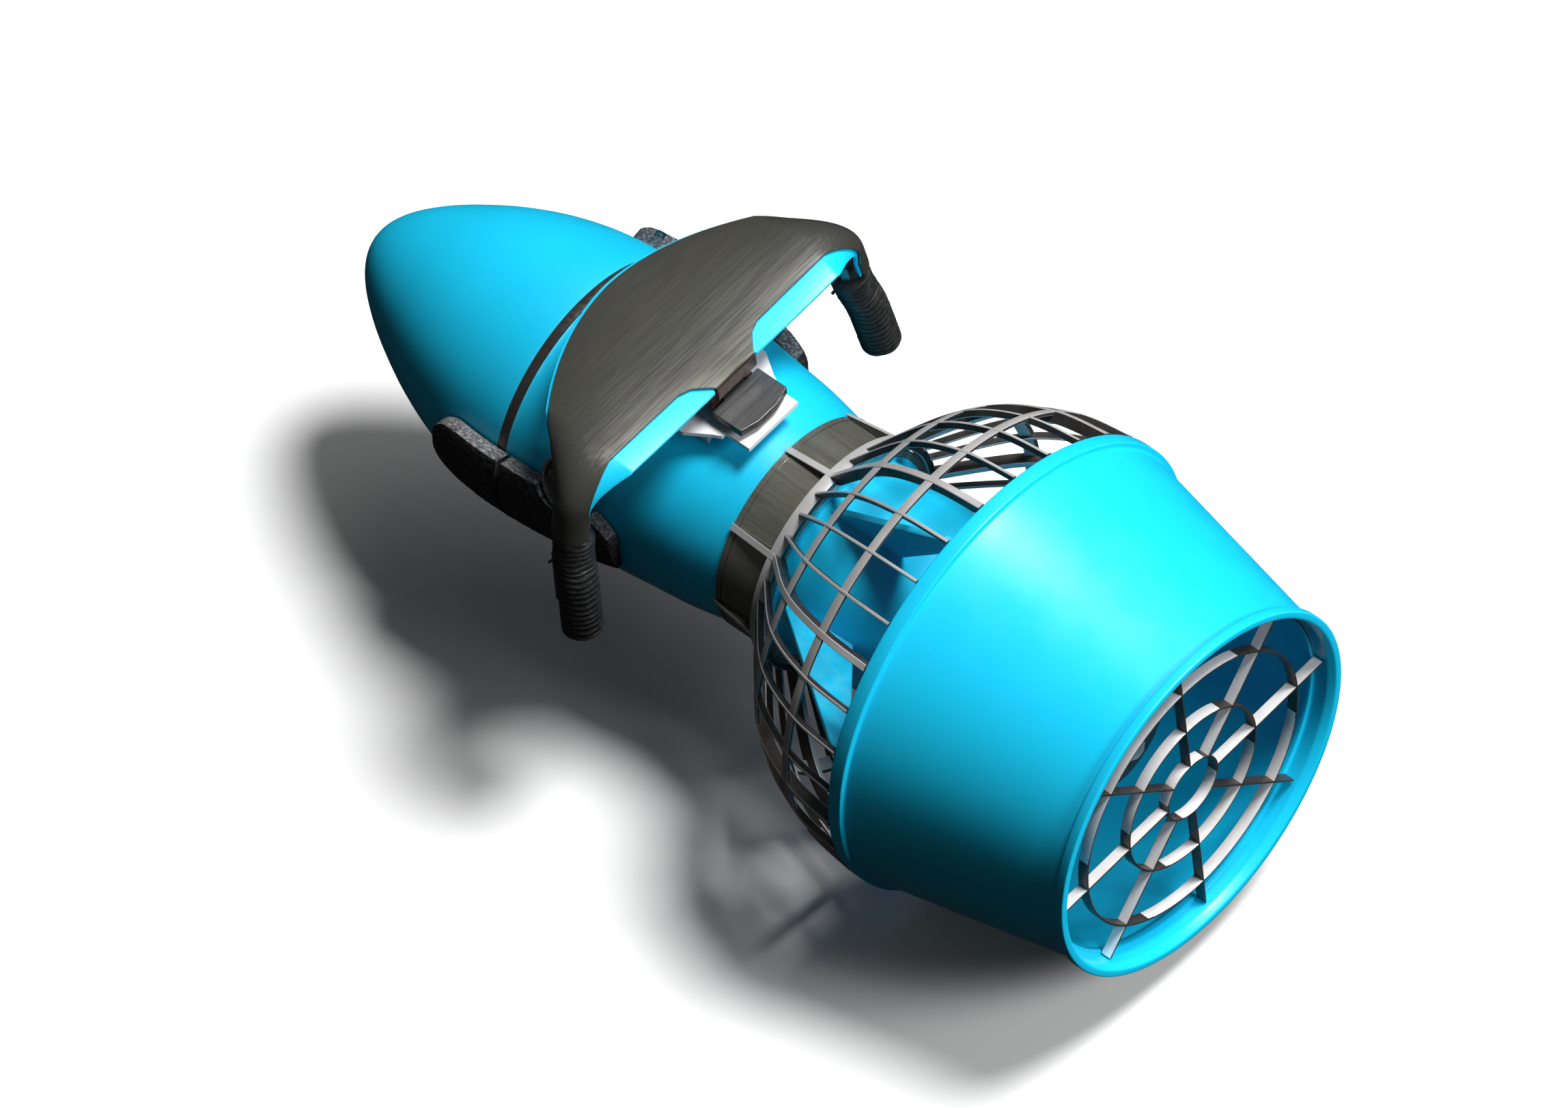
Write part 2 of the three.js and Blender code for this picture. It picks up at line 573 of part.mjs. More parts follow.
// ---- side bumpers and latches -----------------------------------------------------------------
// A pad on the hull's skin between two angles, thickest in the middle, that thins out at its free end.
function bumper(x0, x1, steps, freeEnd, taper) {
  const sections = [];
  const arc = 8;
  for (let i = 0; i <= steps; i += 1) {
    const x = x0 + (x1 - x0) * (i / steps);
    const away = Math.min(Math.abs(x - freeEnd) / taper, 1);
    const full = Math.sqrt(1 - (1 - away) ** 2);
    const top = PAD.topDeg - 14 * (1 - full);
    const bottom = PAD.bottomDeg + 4 * (1 - full);
    const inner = hullRadius(x) + 1.3;
    const outline = [];
    for (let k = 0; k <= arc; k += 1) outline.push(radialAt(x, bottom + (top - bottom) * (k / arc))(inner));
    for (let k = arc; k >= 0; k -= 1) {
      const flank = PAD.bottomT + (PAD.topT - PAD.bottomT) * (k / arc);
      const thick = (flank + PAD.crown * Math.sin((k / arc) * Math.PI) ** 0.7) * (0.6 + 0.4 * full);
      outline.push(radialAt(x, bottom + (top - bottom) * (k / arc))(inner + thick));
    }
    sections.push(outline);
  }
  return solid(loft(sections));
}

function makeSide(side, name) {
  const put = (node, body, finish) => add(`${name}_${node}`, side > 0 ? body : mirrorY(body), finish);
  const out = radialAt(KNOB.x, KNOB.deg);
  const seat = hullRadius(KNOB.x);
  const recess = solid(rod(out(60), out(120), KNOB.r + 1.5, 24));
  put('nose_bumper', bumper(...PAD.nose, 6, PAD.nose[1], 20), BLACK);
  put('hull_bumper', bumper(...PAD.rear, 7, PAD.rear[0], 42).subtract(recess), BLACK);
  const knob = solid(rod(out(seat + 3), out(seat + 3 + KNOB.t), KNOB.r, 32))
    .add(solid(rod(out(70.5), out(seat + 4), 4.7, 16)));
  put('latch_knob', knob, GREY_METAL);
  const cam = box(-8, 22, -5, 5, -2, 2).rotateX(rad(KNOB.deg - 90)).translate(...out(68));
  put('latch_cam', solid(cam), STEEL);
}

makeShroud();
makeGuard();
makeCage();
makeCollar();
makePod();
makeDrive();
makePropeller();
makeHull();
makeNose();
makeBattery();
makeConsole();
makeBracket();
makeFlap();
for (const [side, name] of [[1, 'port'], [-1, 'starboard']]) {
  makeHandle(side, name);
  makeSide(side, name);
}

export default scooter;
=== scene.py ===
"""Looks of the underwater scooter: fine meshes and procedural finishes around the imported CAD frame."""

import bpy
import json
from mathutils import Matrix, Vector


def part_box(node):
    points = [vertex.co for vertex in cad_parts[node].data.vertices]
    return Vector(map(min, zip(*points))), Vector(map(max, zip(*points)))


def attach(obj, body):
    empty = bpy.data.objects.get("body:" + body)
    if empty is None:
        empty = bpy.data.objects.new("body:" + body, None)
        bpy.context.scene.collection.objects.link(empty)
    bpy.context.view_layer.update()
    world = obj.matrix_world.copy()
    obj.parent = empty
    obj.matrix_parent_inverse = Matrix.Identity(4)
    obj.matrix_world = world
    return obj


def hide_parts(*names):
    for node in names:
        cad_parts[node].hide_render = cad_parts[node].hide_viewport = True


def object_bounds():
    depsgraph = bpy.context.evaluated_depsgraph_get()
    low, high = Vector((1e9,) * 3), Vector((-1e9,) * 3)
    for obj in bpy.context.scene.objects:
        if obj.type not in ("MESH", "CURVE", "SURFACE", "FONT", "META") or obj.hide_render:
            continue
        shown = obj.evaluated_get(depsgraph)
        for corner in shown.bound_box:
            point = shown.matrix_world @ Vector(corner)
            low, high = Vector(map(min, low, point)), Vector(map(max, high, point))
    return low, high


bl_info = {
    "name": "Underwater scooter",
    "version": (1, 0, 0),
    "blender": (4, 5, 0),
    "location": "View3D > Sidebar > Scooter",
    "description": "Builds the visible pieces, finishes and stage of an underwater scooter",
    "category": "Object",
}

import json
import math

import bmesh
import bpy
import numpy as np
from mathutils import Matrix, Vector, noise

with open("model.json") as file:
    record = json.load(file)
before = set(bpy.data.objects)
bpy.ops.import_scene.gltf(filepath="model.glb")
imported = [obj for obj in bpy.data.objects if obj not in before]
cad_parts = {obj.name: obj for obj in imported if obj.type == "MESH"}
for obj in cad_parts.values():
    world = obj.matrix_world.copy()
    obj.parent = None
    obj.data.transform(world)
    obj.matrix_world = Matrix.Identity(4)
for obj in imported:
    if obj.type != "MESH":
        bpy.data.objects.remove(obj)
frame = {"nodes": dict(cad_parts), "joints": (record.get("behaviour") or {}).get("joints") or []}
CAD_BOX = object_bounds()
JOINTS = {joint["name"]: joint for joint in frame["joints"]}

MM = 0.001
# The drawing's own axes start at the centre of the rear rim: x forward, y to port, z up, in mm.
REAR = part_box("shroud")[0].x
AXIS_Z = JOINTS["propeller_spin"]["pos_m"][2]
ORIGIN = np.array([REAR, 0.0, AXIS_Z])

SIDES = (("port", 1), ("starboard", -1))
TURN_STEPS = 192
SMALL_TURN_STEPS = 128
GAP = 0.3
WALL = 4.0

FLANGE_R, FLANGE_X, FLANGE_LENGTH, FLANGE_FLAT = 147.5, 152.7, 9.5, 145.0
RIM_R, RIM_X, RIM_BORE = 120.0, 6.5, 115.4
DUCT_REAR_R, DUCT_FRONT_R, DUCT_WALL = 116.5, 144.0, 3.5
GUARD_X = (7.0, 14.0)
GUARD_RINGS = (21.0, 54.0, 90.0)
GUARD_STRIP, GUARD_REACH, GUARD_LIP, GUARD_SPOKES = 1.3, 111.8, 110.4, 8
# the groove behind the rim that holds the guard's spoke ends
GROOVE_X, GROOVE_R = 5.0, GUARD_REACH + 1.2

CAGE_RINGS = ((272.0, 75.5, 8.0), (232.0, 119.6, 6.0), (191.0, 140.8, 6.0))
CAGE_MAIN, CAGE_PER_BAY, CAGE_RING_T = 8, 4, 2.6
# width and depth of a rib
MAIN_RIB, THIN_RIB = (4.4, 7.0), (2.0, 4.0)
COLLAR_X = (269.0, 307.4)
COLLAR_R, COLLAR_BORE = 69.6, 65.2
COLLAR_GROOVE_IN, COLLAR_GROOVE_HALF, COLLAR_GROOVE_DEPTH = 4.2, 0.35, 0.9
POD_REAR_X, POD_BORE = 116, 14
VANE_ANGLES = (20, 80, 200, 260)
# [x, radius] of a vane's root and tip, along its two edges
VANE_FRONT, VANE_REAR = ((268, 59.5), (160, 139.6)), ((214, 58.5), (146, 139.6))
VANE_T, VANE_CHAMFER = 4.0, 1.2
BLADE_ANGLES = (62, 182, 302)
BLADE_X, BLADE_ROOT, BLADE_TIP = 87, 31, 116
# radius, chord and pitch angle
BLADE_STATIONS = np.array([(31, 30, 46), (60, 36, 34), (88, 34, 26), (106, 24, 22), (116, 9, 20)], float)
LENGTH = 628.0
HULL_REAR_X = 307.7
SPIGOT_X, NOSE_BORE_X = 428, 616
SEAM_X = (455.6, 461.4)
HULL_STATIONS = np.array([
    (300, 66.5), (336, 73.2), (360, 75.8), (396, 79.9), (432, 83.9), (462, 85.3), (480, 84.5),
    (504, 81.1), (528, 74.9), (552, 65.8), (576, 53.9), (600, 38.9), (612, 29.2), (628, 0),
])
PAD_TOP_T, PAD_BOTTOM_T, PAD_CROWN = 10.5, 4.5, 2.6
PAD_TOP, PAD_BOTTOM, PAD_LIFT = 20.0, -14.0, 1.3
PAD_REAR, PAD_NOSE = (373.0, 449.8), (452.2, 507.0)
PAD_REAR_TAPER, PAD_NOSE_TAPER = 42, 20
KNOB_X, KNOB_ANGLE, KNOB_R, KNOB_T = 406.0, 26.0, 19.0, 7.0
KNOB_STEM, KNOB_RECESS_GAP = (70.5, 4.7), 1.5


# ---- settings ------------------------------------------------------------------------------------
def colour_property(label, text, value):
    return bpy.props.FloatVectorProperty(
        name=label, description=text, default=value, min=0.0, max=1.0, size=3, subtype="COLOR")


class ScooterColours(bpy.types.PropertyGroup):
    """Base colours of the finishes."""

    shell: colour_property("Shell", "Glossy moulded hull, nose, pod and shroud", (0.008, 0.60, 0.93))
    plate: colour_property("Console plate", "Dark reflective plate on the console", (0.20, 0.198, 0.188))
    strip: colour_property("Cage strip", "Broad faces of the cage and guard strips", (0.62, 0.61, 0.6))
    # painted shade: the strips' narrow faces and the guard faces side-on to the light take this dark colour
    strip_edge_shade: colour_property("Strip edge", "Narrow faces of the cage strips", (0.07, 0.065, 0.06))
    collar: colour_property("Collar", "Olive-grey metal collar", (0.30, 0.30, 0.25))
    rubber: colour_property("Rubber", "Hand grips", (0.012, 0.012, 0.012))
    foam: colour_property("Foam", "Side bumpers", (0.022, 0.022, 0.023))
    tongue: colour_property("Tongue", "Cover flap behind the console", (0.20, 0.20, 0.20))


class ScooterSizes(bpy.types.PropertyGroup):
    """Small sizes of the surface detail."""

    edge_radius: bpy.props.FloatProperty(
        name="Edge radius", description="Rounding of moulded edges", default=0.0011, min=0.0002,
        max=0.003, unit="LENGTH", subtype="DISTANCE")
    rib_pitch: bpy.props.FloatProperty(
        name="Grip rib pitch", description="Distance between the grip's ribs", default=0.0040,
        min=0.002, max=0.01, unit="LENGTH", subtype="DISTANCE")
    rib_depth: bpy.props.FloatProperty(
        name="Grip rib depth", description="Depth of the grooves between the grip's ribs", default=0.0008,
        min=0.0, max=0.002, unit="LENGTH", subtype="DISTANCE")
    foam_relief: bpy.props.FloatProperty(
        name="Foam relief", description="Height of the bumper's rough skin", default=0.00035, min=0.0,
        max=0.001, unit="LENGTH", subtype="DISTANCE")


# ---- mesh code -----------------------------------------------------------------------------------
def place(points):
    """Points in the drawing's millimetres as metres in the row frame."""
    return np.asarray(points, float) * MM + ORIGIN


def rounded(outline, radius, arcs=3, closed=True, least_turn=25.0):
    """A flat outline with its sharp corners replaced by short arcs."""
    made = []
    count = len(outline)
    for i, point in enumerate(outline):
        corner = Vector(point)
        before = Vector(outline[i - 1]) - corner
        after = Vector(outline[(i + 1) % count]) - corner
        ends_here = not closed and i in (0, count - 1)
        if ends_here or min(before.length, after.length) < 1e-6 \
                or 180.0 - math.degrees(before.angle(after)) < least_turn:
            made.append(tuple(corner))
            continue
        reach = min(radius, before.length * 0.45, after.length * 0.45)
        start = corner + before.normalized() * reach
        stop = corner + after.normalized() * reach
        for k in range(arcs + 1):
            t = k / arcs
            made.append(tuple((1 - t) ** 2 * start + 2 * t * (1 - t) * corner + t * t * stop))
    return made


def skin(sections, wrap=False):
    """Vertices and faces over a row of equal outlines: wrapped into a ring, or with flat ends."""
    rows, count = len(sections), len(sections[0])
    faces = []
    for s in range(rows if wrap else rows - 1):
        a, b = s * count, ((s + 1) % rows) * count
        for i in range(count):
            j = (i + 1) % count
            faces.append((a + i, a + j, b + j, b + i))
    if not wrap:
        faces.append(tuple(reversed(range(count))))
        faces.append(tuple(range((rows - 1) * count, rows * count)))
    return np.asarray(sections, float).reshape(-1, 3), faces


def turned(outline, steps=TURN_STEPS):
    """An [x, radius] outline turned about the thrust axis."""
    sections = []
    for angle in np.linspace(0, 2 * math.pi, steps, endpoint=False):
        c, s = math.cos(angle), math.sin(angle)
        sections.append([(x, r * c, r * s) for x, r in outline])
    return skin(sections, wrap=True)


def joined(parts):
    """Several (vertices, faces) pairs as one."""
    vertices, faces = [], []
    for part_vertices, part_faces in parts:
        start = sum(len(v) for v in vertices)
        vertices.append(part_vertices)
        faces += [tuple(start + i for i in face) for face in part_faces]
    return np.vstack(vertices), faces


def mirrored(vertices):
    return vertices * np.array([1.0, -1.0, 1.0])


def moved_by(matrix, vertices):
    return (np.c_[vertices, np.ones(len(vertices))] @ np.array(matrix).T)[:, :3]


def circle(radius, steps):
    turns = np.linspace(0, 2 * math.pi, steps, endpoint=False)
    return [(math.cos(a) * radius, math.sin(a) * radius) for a in turns]


def straight(start, stop, steps):
    """An evenly spaced straight [x, radius] line."""
    (x0, r0), (x1, r1) = start, stop
    return [(x0 + (x1 - x0) * t, r0 + (r1 - r0) * t) for t in np.linspace(0, 1, steps)]


def piece(name, shape, body, nodes, finishes, sharp=32.0):
    """One visible piece from vertices in drawing millimetres and faces, standing for CAD nodes."""
    vertices, faces = shape
    mesh = bpy.data.meshes.new(name)
    mesh.from_pydata(place(vertices).tolist(), [], faces)
    builder = bmesh.new()
    builder.from_mesh(mesh)
    bmesh.ops.remove_doubles(builder, verts=builder.verts, dist=1e-6)
    bmesh.ops.dissolve_degenerate(builder, dist=1e-7, edges=builder.edges)
    bmesh.ops.recalc_face_normals(builder, faces=builder.faces)
    builder.to_mesh(mesh)
    builder.free()
    for finish in finishes:
        mesh.materials.append(finish)
    obj = bpy.data.objects.new(name, mesh)
    bpy.context.scene.collection.objects.link(obj)
    smooth(obj, sharp)
    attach(obj, body)
    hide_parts(*nodes)
    return obj


def smooth(obj, sharp):
    mesh = obj.data
    mesh.polygons.foreach_set("use_smooth", [True] * len(mesh.polygons))
    mesh.set_sharp_from_angle(angle=math.radians(sharp))


def soften(obj, width_mm, segments=2, angle=38.0):
    """Rounds the sharp edges of an object with a bevel."""
    bevel = obj.modifiers.new("edges", "BEVEL")
    bevel.width = width_mm * MM
    bevel.segments = segments
    bevel.limit_method = "ANGLE"
    bevel.angle_limit = math.radians(angle)
    bevel.harden_normals = True


def paint(obj, chosen, index):
    """Gives a finish to the faces that a test of centre and normal, in the row frame, picks."""
    for face in obj.data.polygons:
        if chosen(face.center, face.normal):
            face.material_index = index


def outward(centre, normal):
    """How far a face looks away from the thrust axis, from -1 to 1."""
    away = Vector((0.0, centre.y, centre.z - AXIS_Z))
    return normal.dot(away.normalized()) if away.length > 1e-6 else 0.0


def hull_radius(x):
    """Outer radius of the hull at a station; its square is interpolated, so the nose ends round."""
    xs, rs = HULL_STATIONS[:, 0], HULL_STATIONS[:, 1]
    squares = rs * rs
    last = len(xs) - 1
    k = int(np.clip(np.searchsorted(xs, x, side="right") - 1, 0, last - 1))

    def slope(i):
        a, b = max(i - 1, 0), min(i + 1, last)
        return (squares[b] - squares[a]) / (xs[b] - xs[a])

    span = xs[k + 1] - xs[k]
    t = min(max((x - xs[k]) / span, 0.0), 1.0)
    squared = (2 * t ** 3 - 3 * t ** 2 + 1) * squares[k] + (t ** 3 - 2 * t ** 2 + t) * span * slope(k) \
        + (3 * t ** 2 - 2 * t ** 3) * squares[k + 1] + (t ** 3 - t ** 2) * span * slope(k + 1)
    return math.sqrt(max(squared, 0.0))


def hull_line(x0, x1, steps, inset=0.0):
    return [(x, max(hull_radius(x) - inset, 0.0)) for x in np.linspace(x0, x1, steps + 1)]


def catmull(points, steps):
    """An evenly spaced smooth line through points."""
    points = np.asarray(points, float)
    padded = np.vstack([2 * points[0] - points[1], points, 2 * points[-1] - points[-2]])
    line = []
    for k in range(1, len(padded) - 2):
        p0, p1, p2, p3 = padded[k - 1:k + 3]
        for t in np.linspace(0, 1, 24, endpoint=False):
            line.append(0.5 * (2 * p1 + (p2 - p0) * t + (2 * p0 - 5 * p1 + 4 * p2 - p3) * t ** 2
                               + (3 * p1 - p0 - 3 * p2 + p3) * t ** 3))
    line.append(padded[-2])
    line = np.array(line)
    along = np.concatenate([[0], np.cumsum(np.linalg.norm(np.diff(line, axis=0), axis=1))])
    wanted = np.linspace(0, along[-1], steps + 1)
    return np.stack([np.interp(wanted, along, line[:, i]) for i in range(line.shape[1])], axis=1)


def on_hull(x, degrees, r):
    return np.array([x, r * math.cos(math.radians(degrees)), r * math.sin(math.radians(degrees))])


def radial_strip(outer, inner, width, degrees, chamfer=0.35):
    """A strip standing on the thrust axis: its outer and inner lines are [x, radius] rows."""
    out_dir = np.array([0.0, math.cos(math.radians(degrees)), math.sin(math.radians(degrees))])
    side_dir = np.array([0.0, -out_dir[2], out_dir[1]])
    x_dir = np.array([1.0, 0.0, 0.0])
    half = width / 2
    sections = []
    for (xo, ro), (xi, ri) in zip(outer, inner):
        top = xo * x_dir + ro * out_dir
        low = xi * x_dir + ri * out_dir
        depth = np.linalg.norm(top - low)
        down = (low - top) / max(depth, 1e-6)
        c = min(chamfer, depth * 0.3, half * 0.4)
        sections.append([
            top + side_dir * (half - c), top + down * c + side_dir * half,
            low - down * c + side_dir * half, low + side_dir * (half - c),
            low - side_dir * (half - c), low - down * c - side_dir * half,
            top + down * c - side_dir * half, top - side_dir * (half - c),
        ])
    return skin(sections)


# ---- finishes ------------------------------------------------------------------------------------
class Finish:
    """A procedural finish on the Principled shader, in the row frame's own coordinates."""

    def __init__(self, name, base, rough, metal=0.0, stretch=(1.0, 1.0, 1.0), coat=0.0):
        self.made = bpy.data.materials.new(name)
        self.made.use_nodes = True
        self.tree = self.made.node_tree
        self.shader = self.tree.nodes["Principled BSDF"]
        self.shader.inputs["Metallic"].default_value = metal
        self.shader.inputs["Coat Weight"].default_value = coat
        self.shader.inputs["Coat Roughness"].default_value = 0.16
        self.shader.inputs["Roughness"].default_value = rough
        self.shader.inputs["Base Color"].default_value = (*base, 1.0)
        self.rough = rough
        coordinates = self.node("ShaderNodeTexCoord")
        self.mapping = self.node("ShaderNodeMapping")
        self.mapping.inputs["Scale"].default_value = stretch
        self.link(coordinates.outputs["Object"], self.mapping.inputs["Vector"])
        self.colour = None
        self.base = base

    def node(self, kind):
        return self.tree.nodes.new(kind)

    def link(self, source, target):
        self.tree.links.new(source, target)

    def cloud(self, scale, detail=4.0, low=0.35, high=0.65):
        """A noise spread over 0 to 1."""
        cloud = self.node("ShaderNodeTexNoise")
        cloud.inputs["Scale"].default_value = scale
        cloud.inputs["Detail"].default_value = detail
        self.link(self.mapping.outputs["Vector"], cloud.inputs["Vector"])
        spread = self.node("ShaderNodeMapRange")
        spread.inputs["From Min"].default_value = low
        spread.inputs["From Max"].default_value = high
        self.link(cloud.outputs["Fac"], spread.inputs["Value"])
        return spread.outputs["Result"]

    def tint(self, factor, colour, strength=1.0):
        """Mixes a colour over what is there by a factor."""
        mix = self.node("ShaderNodeMix")
        mix.data_type = "RGBA"
        limit = self.node("ShaderNodeMath")
        limit.operation = "MULTIPLY"
        limit.inputs[1].default_value = strength
        self.link(factor, limit.inputs[0])
        self.link(limit.outputs[0], mix.inputs[0])
        if self.colour is None:
            mix.inputs[6].default_value = (*self.base, 1.0)
        else:
            self.link(self.colour, mix.inputs[6])
        mix.inputs[7].default_value = (*colour, 1.0)
        self.colour = mix.outputs[2]
        self.link(self.colour, self.shader.inputs["Base Color"])
        return self

    def vary_rough(self, scale, spread, detail=4.0):
        ranged = self.node("ShaderNodeMapRange")
        ranged.inputs["To Min"].default_value = max(self.rough - spread, 0.02)
        ranged.inputs["To Max"].default_value = min(self.rough + spread, 1.0)
        self.link(self.cloud(scale, detail), ranged.inputs["Value"])
        self.link(ranged.outputs["Result"], self.shader.inputs["Roughness"])
        return self

    def relief(self, scale, height_mm, detail=3.0):
        bump = self.node("ShaderNodeBump")
        bump.inputs["Strength"].default_value = 1.0
        bump.inputs["Distance"].default_value = height_mm * MM
        self.link(self.cloud(scale, detail, 0.0, 1.0), bump.inputs["Height"])
        self.link(bump.outputs["Normal"], self.shader.inputs["Normal"])
        return self

    def worn(self, colour, strength=0.6, start=0.53, end=0.6):
        """Lightens convex edges, broken up by a cloud."""
        geometry = self.node("ShaderNodeNewGeometry")
        edge = self.node("ShaderNodeMapRange")
        edge.inputs["From Min"].default_value = start
        edge.inputs["From Max"].default_value = end
        self.link(geometry.outputs["Pointiness"], edge.inputs["Value"])
        patchy = self.node("ShaderNodeMath")
        patchy.operation = "MULTIPLY"
        self.link(edge.outputs["Result"], patchy.inputs[0])
        self.link(self.cloud(140.0), patchy.inputs[1])
        return self.tint(patchy.outputs[0], colour, strength)


def shade(colour, factor):
    return tuple(min(c * factor, 1.0) for c in colour)


FINISHES = {}


def keep(key, name, base, rough, metal=0.0, **options):
    """Starts a finish and keeps it in FINISHES."""
    finish = Finish(name, base, rough, metal, **options)
    FINISHES[key] = finish.made
    return finish


def make_finishes(colours):
    """Fills FINISHES with every finish, from the colours set in the panel."""
    shell = tuple(colours.shell)
    cyan = keep("shell", "moulded_cyan", shell, 0.36, coat=0.12)
    cyan.tint(cyan.cloud(7.0), shade(shell, 0.93), 0.6)
    cyan.tint(cyan.cloud(420.0, 6.0, 0.6, 0.72), shade(shell, 1.12), 0.35)
    cyan.vary_rough(38.0, 0.05).relief(1500.0, 0.012)
    cyan.worn((0.25, 0.72, 0.92), 0.5)

    plate_colour = tuple(colours.plate)
    plate = keep("plate", "brushed_plate", plate_colour, 0.3, 0.8, stretch=(1.0, 0.03, 1.0))
    plate.tint(plate.cloud(1500.0, 2.0), shade(plate_colour, 0.8), 0.6)
    plate.tint(plate.cloud(14.0, 2.0), (0.21, 0.21, 0.16), 0.7)
    plate.vary_rough(900.0, 0.05, 2.0).relief(1800.0, 0.004, 2.0)

    strip_colour = tuple(colours.strip)
    strip = keep("strip", "strip_face", strip_colour, 0.36, 0.25)
    strip.tint(strip.cloud(26.0), shade(strip_colour, 0.72), 0.8)
    strip.tint(strip.cloud(900.0, 6.0, 0.55, 0.75), shade(strip_colour, 0.6), 0.5)
    strip.vary_rough(120.0, 0.08).relief(1200.0, 0.01)

    # Painted shade: the narrow faces of cage and guard strips, and the guard faces side-on to the light, take
    # this dark finish.
    edge = keep("strip_edge_shade", "strip_edge_shade", tuple(colours.strip_edge_shade), 0.42, 0.4)
    edge.tint(edge.cloud(60.0), (0.035, 0.025, 0.02), 0.8)
    edge.vary_rough(200.0, 0.08).relief(1200.0, 0.01)

    # Painted light: the guard faces square to the light take this pale finish.
    guard = keep("guard", "guard_lit_face", (0.90, 0.87, 0.84), 0.3, 0.2)
    guard.tint(guard.cloud(34.0), (0.66, 0.63, 0.61), 0.6)
    guard.vary_rough(140.0, 0.06).relief(1400.0, 0.008)

    collar_colour = tuple(colours.collar)
    collar = keep("collar", "collar_metal", collar_colour, 0.24, 0.7, stretch=(0.05, 1.0, 1.0))
    collar.tint(collar.cloud(70.0, 3.0), shade(collar_colour, 0.5), 0.6)
    collar.tint(collar.cloud(900.0, 2.0), shade(collar_colour, 1.5), 0.35)
    collar.vary_rough(300.0, 0.06, 2.0).relief(1600.0, 0.008, 2.0)

    band = keep("band", "band_metal", (0.10, 0.095, 0.09), 0.35, 0.8)
    band.tint(band.cloud(50.0), (0.17, 0.165, 0.16), 0.6)
    band.vary_rough(240.0, 0.08).relief(1600.0, 0.01)

    steel = keep("steel", "turned_steel", (0.62, 0.62, 0.61), 0.28, 1.0, stretch=(1.0, 0.2, 0.2))
    steel.tint(steel.cloud(900.0, 2.0), (0.42, 0.42, 0.41), 0.6)
    steel.vary_rough(500.0, 0.07).relief(1500.0, 0.008)

    rubber_colour = tuple(colours.rubber)
    rubber = keep("rubber", "grip_rubber", rubber_colour, 0.5)
    rubber.tint(rubber.cloud(260.0), shade(rubber_colour, 2.6), 0.7)
    rubber.vary_rough(180.0, 0.12).relief(900.0, 0.09)

    foam_colour = tuple(colours.foam)
    foam = keep("foam", "speckled_foam", foam_colour, 0.82)
    foam.tint(foam.cloud(620.0, 5.0, 0.5, 0.64), (0.12, 0.12, 0.12), 0.75)
    foam.tint(foam.cloud(30.0), shade(foam_colour, 0.5), 0.4)
    foam.vary_rough(300.0, 0.1).relief(700.0, 0.3, 6.0)

    foam_top = keep("foam_top", "speckled_foam_top", (0.085, 0.085, 0.088), 0.78)
    foam_top.tint(foam_top.cloud(640.0, 5.0, 0.47, 0.6), (0.30, 0.30, 0.31), 0.7)
    foam_top.tint(foam_top.cloud(500.0, 5.0, 0.55, 0.68), (0.02, 0.02, 0.02), 0.8)
    foam_top.vary_rough(300.0, 0.1).relief(700.0, 0.25, 6.0)

    tongue_colour = tuple(colours.tongue)
    tongue = keep("tongue", "tongue_face", tongue_colour, 0.33, 0.75, stretch=(1.0, 0.06, 1.0))
    tongue.tint(tongue.cloud(900.0, 2.0), shade(tongue_colour, 0.75), 0.6)
    tongue.vary_rough(400.0, 0.07).relief(1500.0, 0.01)

    black = keep("black", "black_moulding", (0.010, 0.010, 0.011), 0.42)
    black.tint(black.cloud(120.0), (0.022, 0.022, 0.022), 0.7)
    black.vary_rough(160.0, 0.09).relief(1100.0, 0.02)
    black.worn((0.06, 0.06, 0.06), 0.6)

    brown = keep("brown", "hinge_brown", (0.05, 0.026, 0.017), 0.45)
    brown.tint(brown.cloud(90.0), (0.022, 0.012, 0.008), 0.7)
    brown.vary_rough(220.0, 0.09).relief(1100.0, 0.03)

    white = keep("white", "bracket_white", (0.86, 0.86, 0.85), 0.38)
    white.tint(white.cloud(80.0), (0.76, 0.76, 0.75), 0.5)
    white.vary_rough(160.0, 0.06).relief(1100.0, 0.012)

    knob = keep("knob", "knob_metal", (0.13, 0.125, 0.115), 0.32, 0.85)
    knob.tint(knob.cloud(90.0), (0.22, 0.215, 0.2), 0.5)
    knob.vary_rough(260.0, 0.08).relief(1500.0, 0.01)
    knob.worn((0.7, 0.7, 0.68), 0.8, 0.52, 0.56)

    # Painted highlight: the knob's rim and side take this bright silver in place of the highlight along its
    # edge.
    rim = keep("rim", "knob_rim_highlight", (0.75, 0.75, 0.74), 0.22, 1.0)
    rim.tint(rim.cloud(160.0), (0.5, 0.5, 0.49), 0.6)
    rim.vary_rough(260.0, 0.06).relief(1500.0, 0.006)

    copper = keep("copper", "winding_copper", (0.60, 0.26, 0.12), 0.36, 1.0, stretch=(0.05, 1.0, 1.0))
    copper.tint(copper.cloud(900.0, 2.0), (0.3, 0.12, 0.05), 0.7)
    copper.vary_rough(300.0, 0.08).relief(900.0, 0.08, 2.0)

    board = keep("board", "coated_board", (0.02, 0.14, 0.05), 0.4)
    board.tint(board.cloud(600.0, 2.0, 0.55, 0.6), (0.25, 0.2, 0.08), 0.6)
    board.vary_rough(200.0, 0.1).relief(900.0, 0.03)

    cast = keep("cast", "cast_iron", (0.09, 0.09, 0.092), 0.62, 0.7)
    cast.tint(cast.cloud(300.0), (0.05, 0.035, 0.03), 0.6)
    cast.vary_rough(200.0, 0.12).relief(500.0, 0.15)


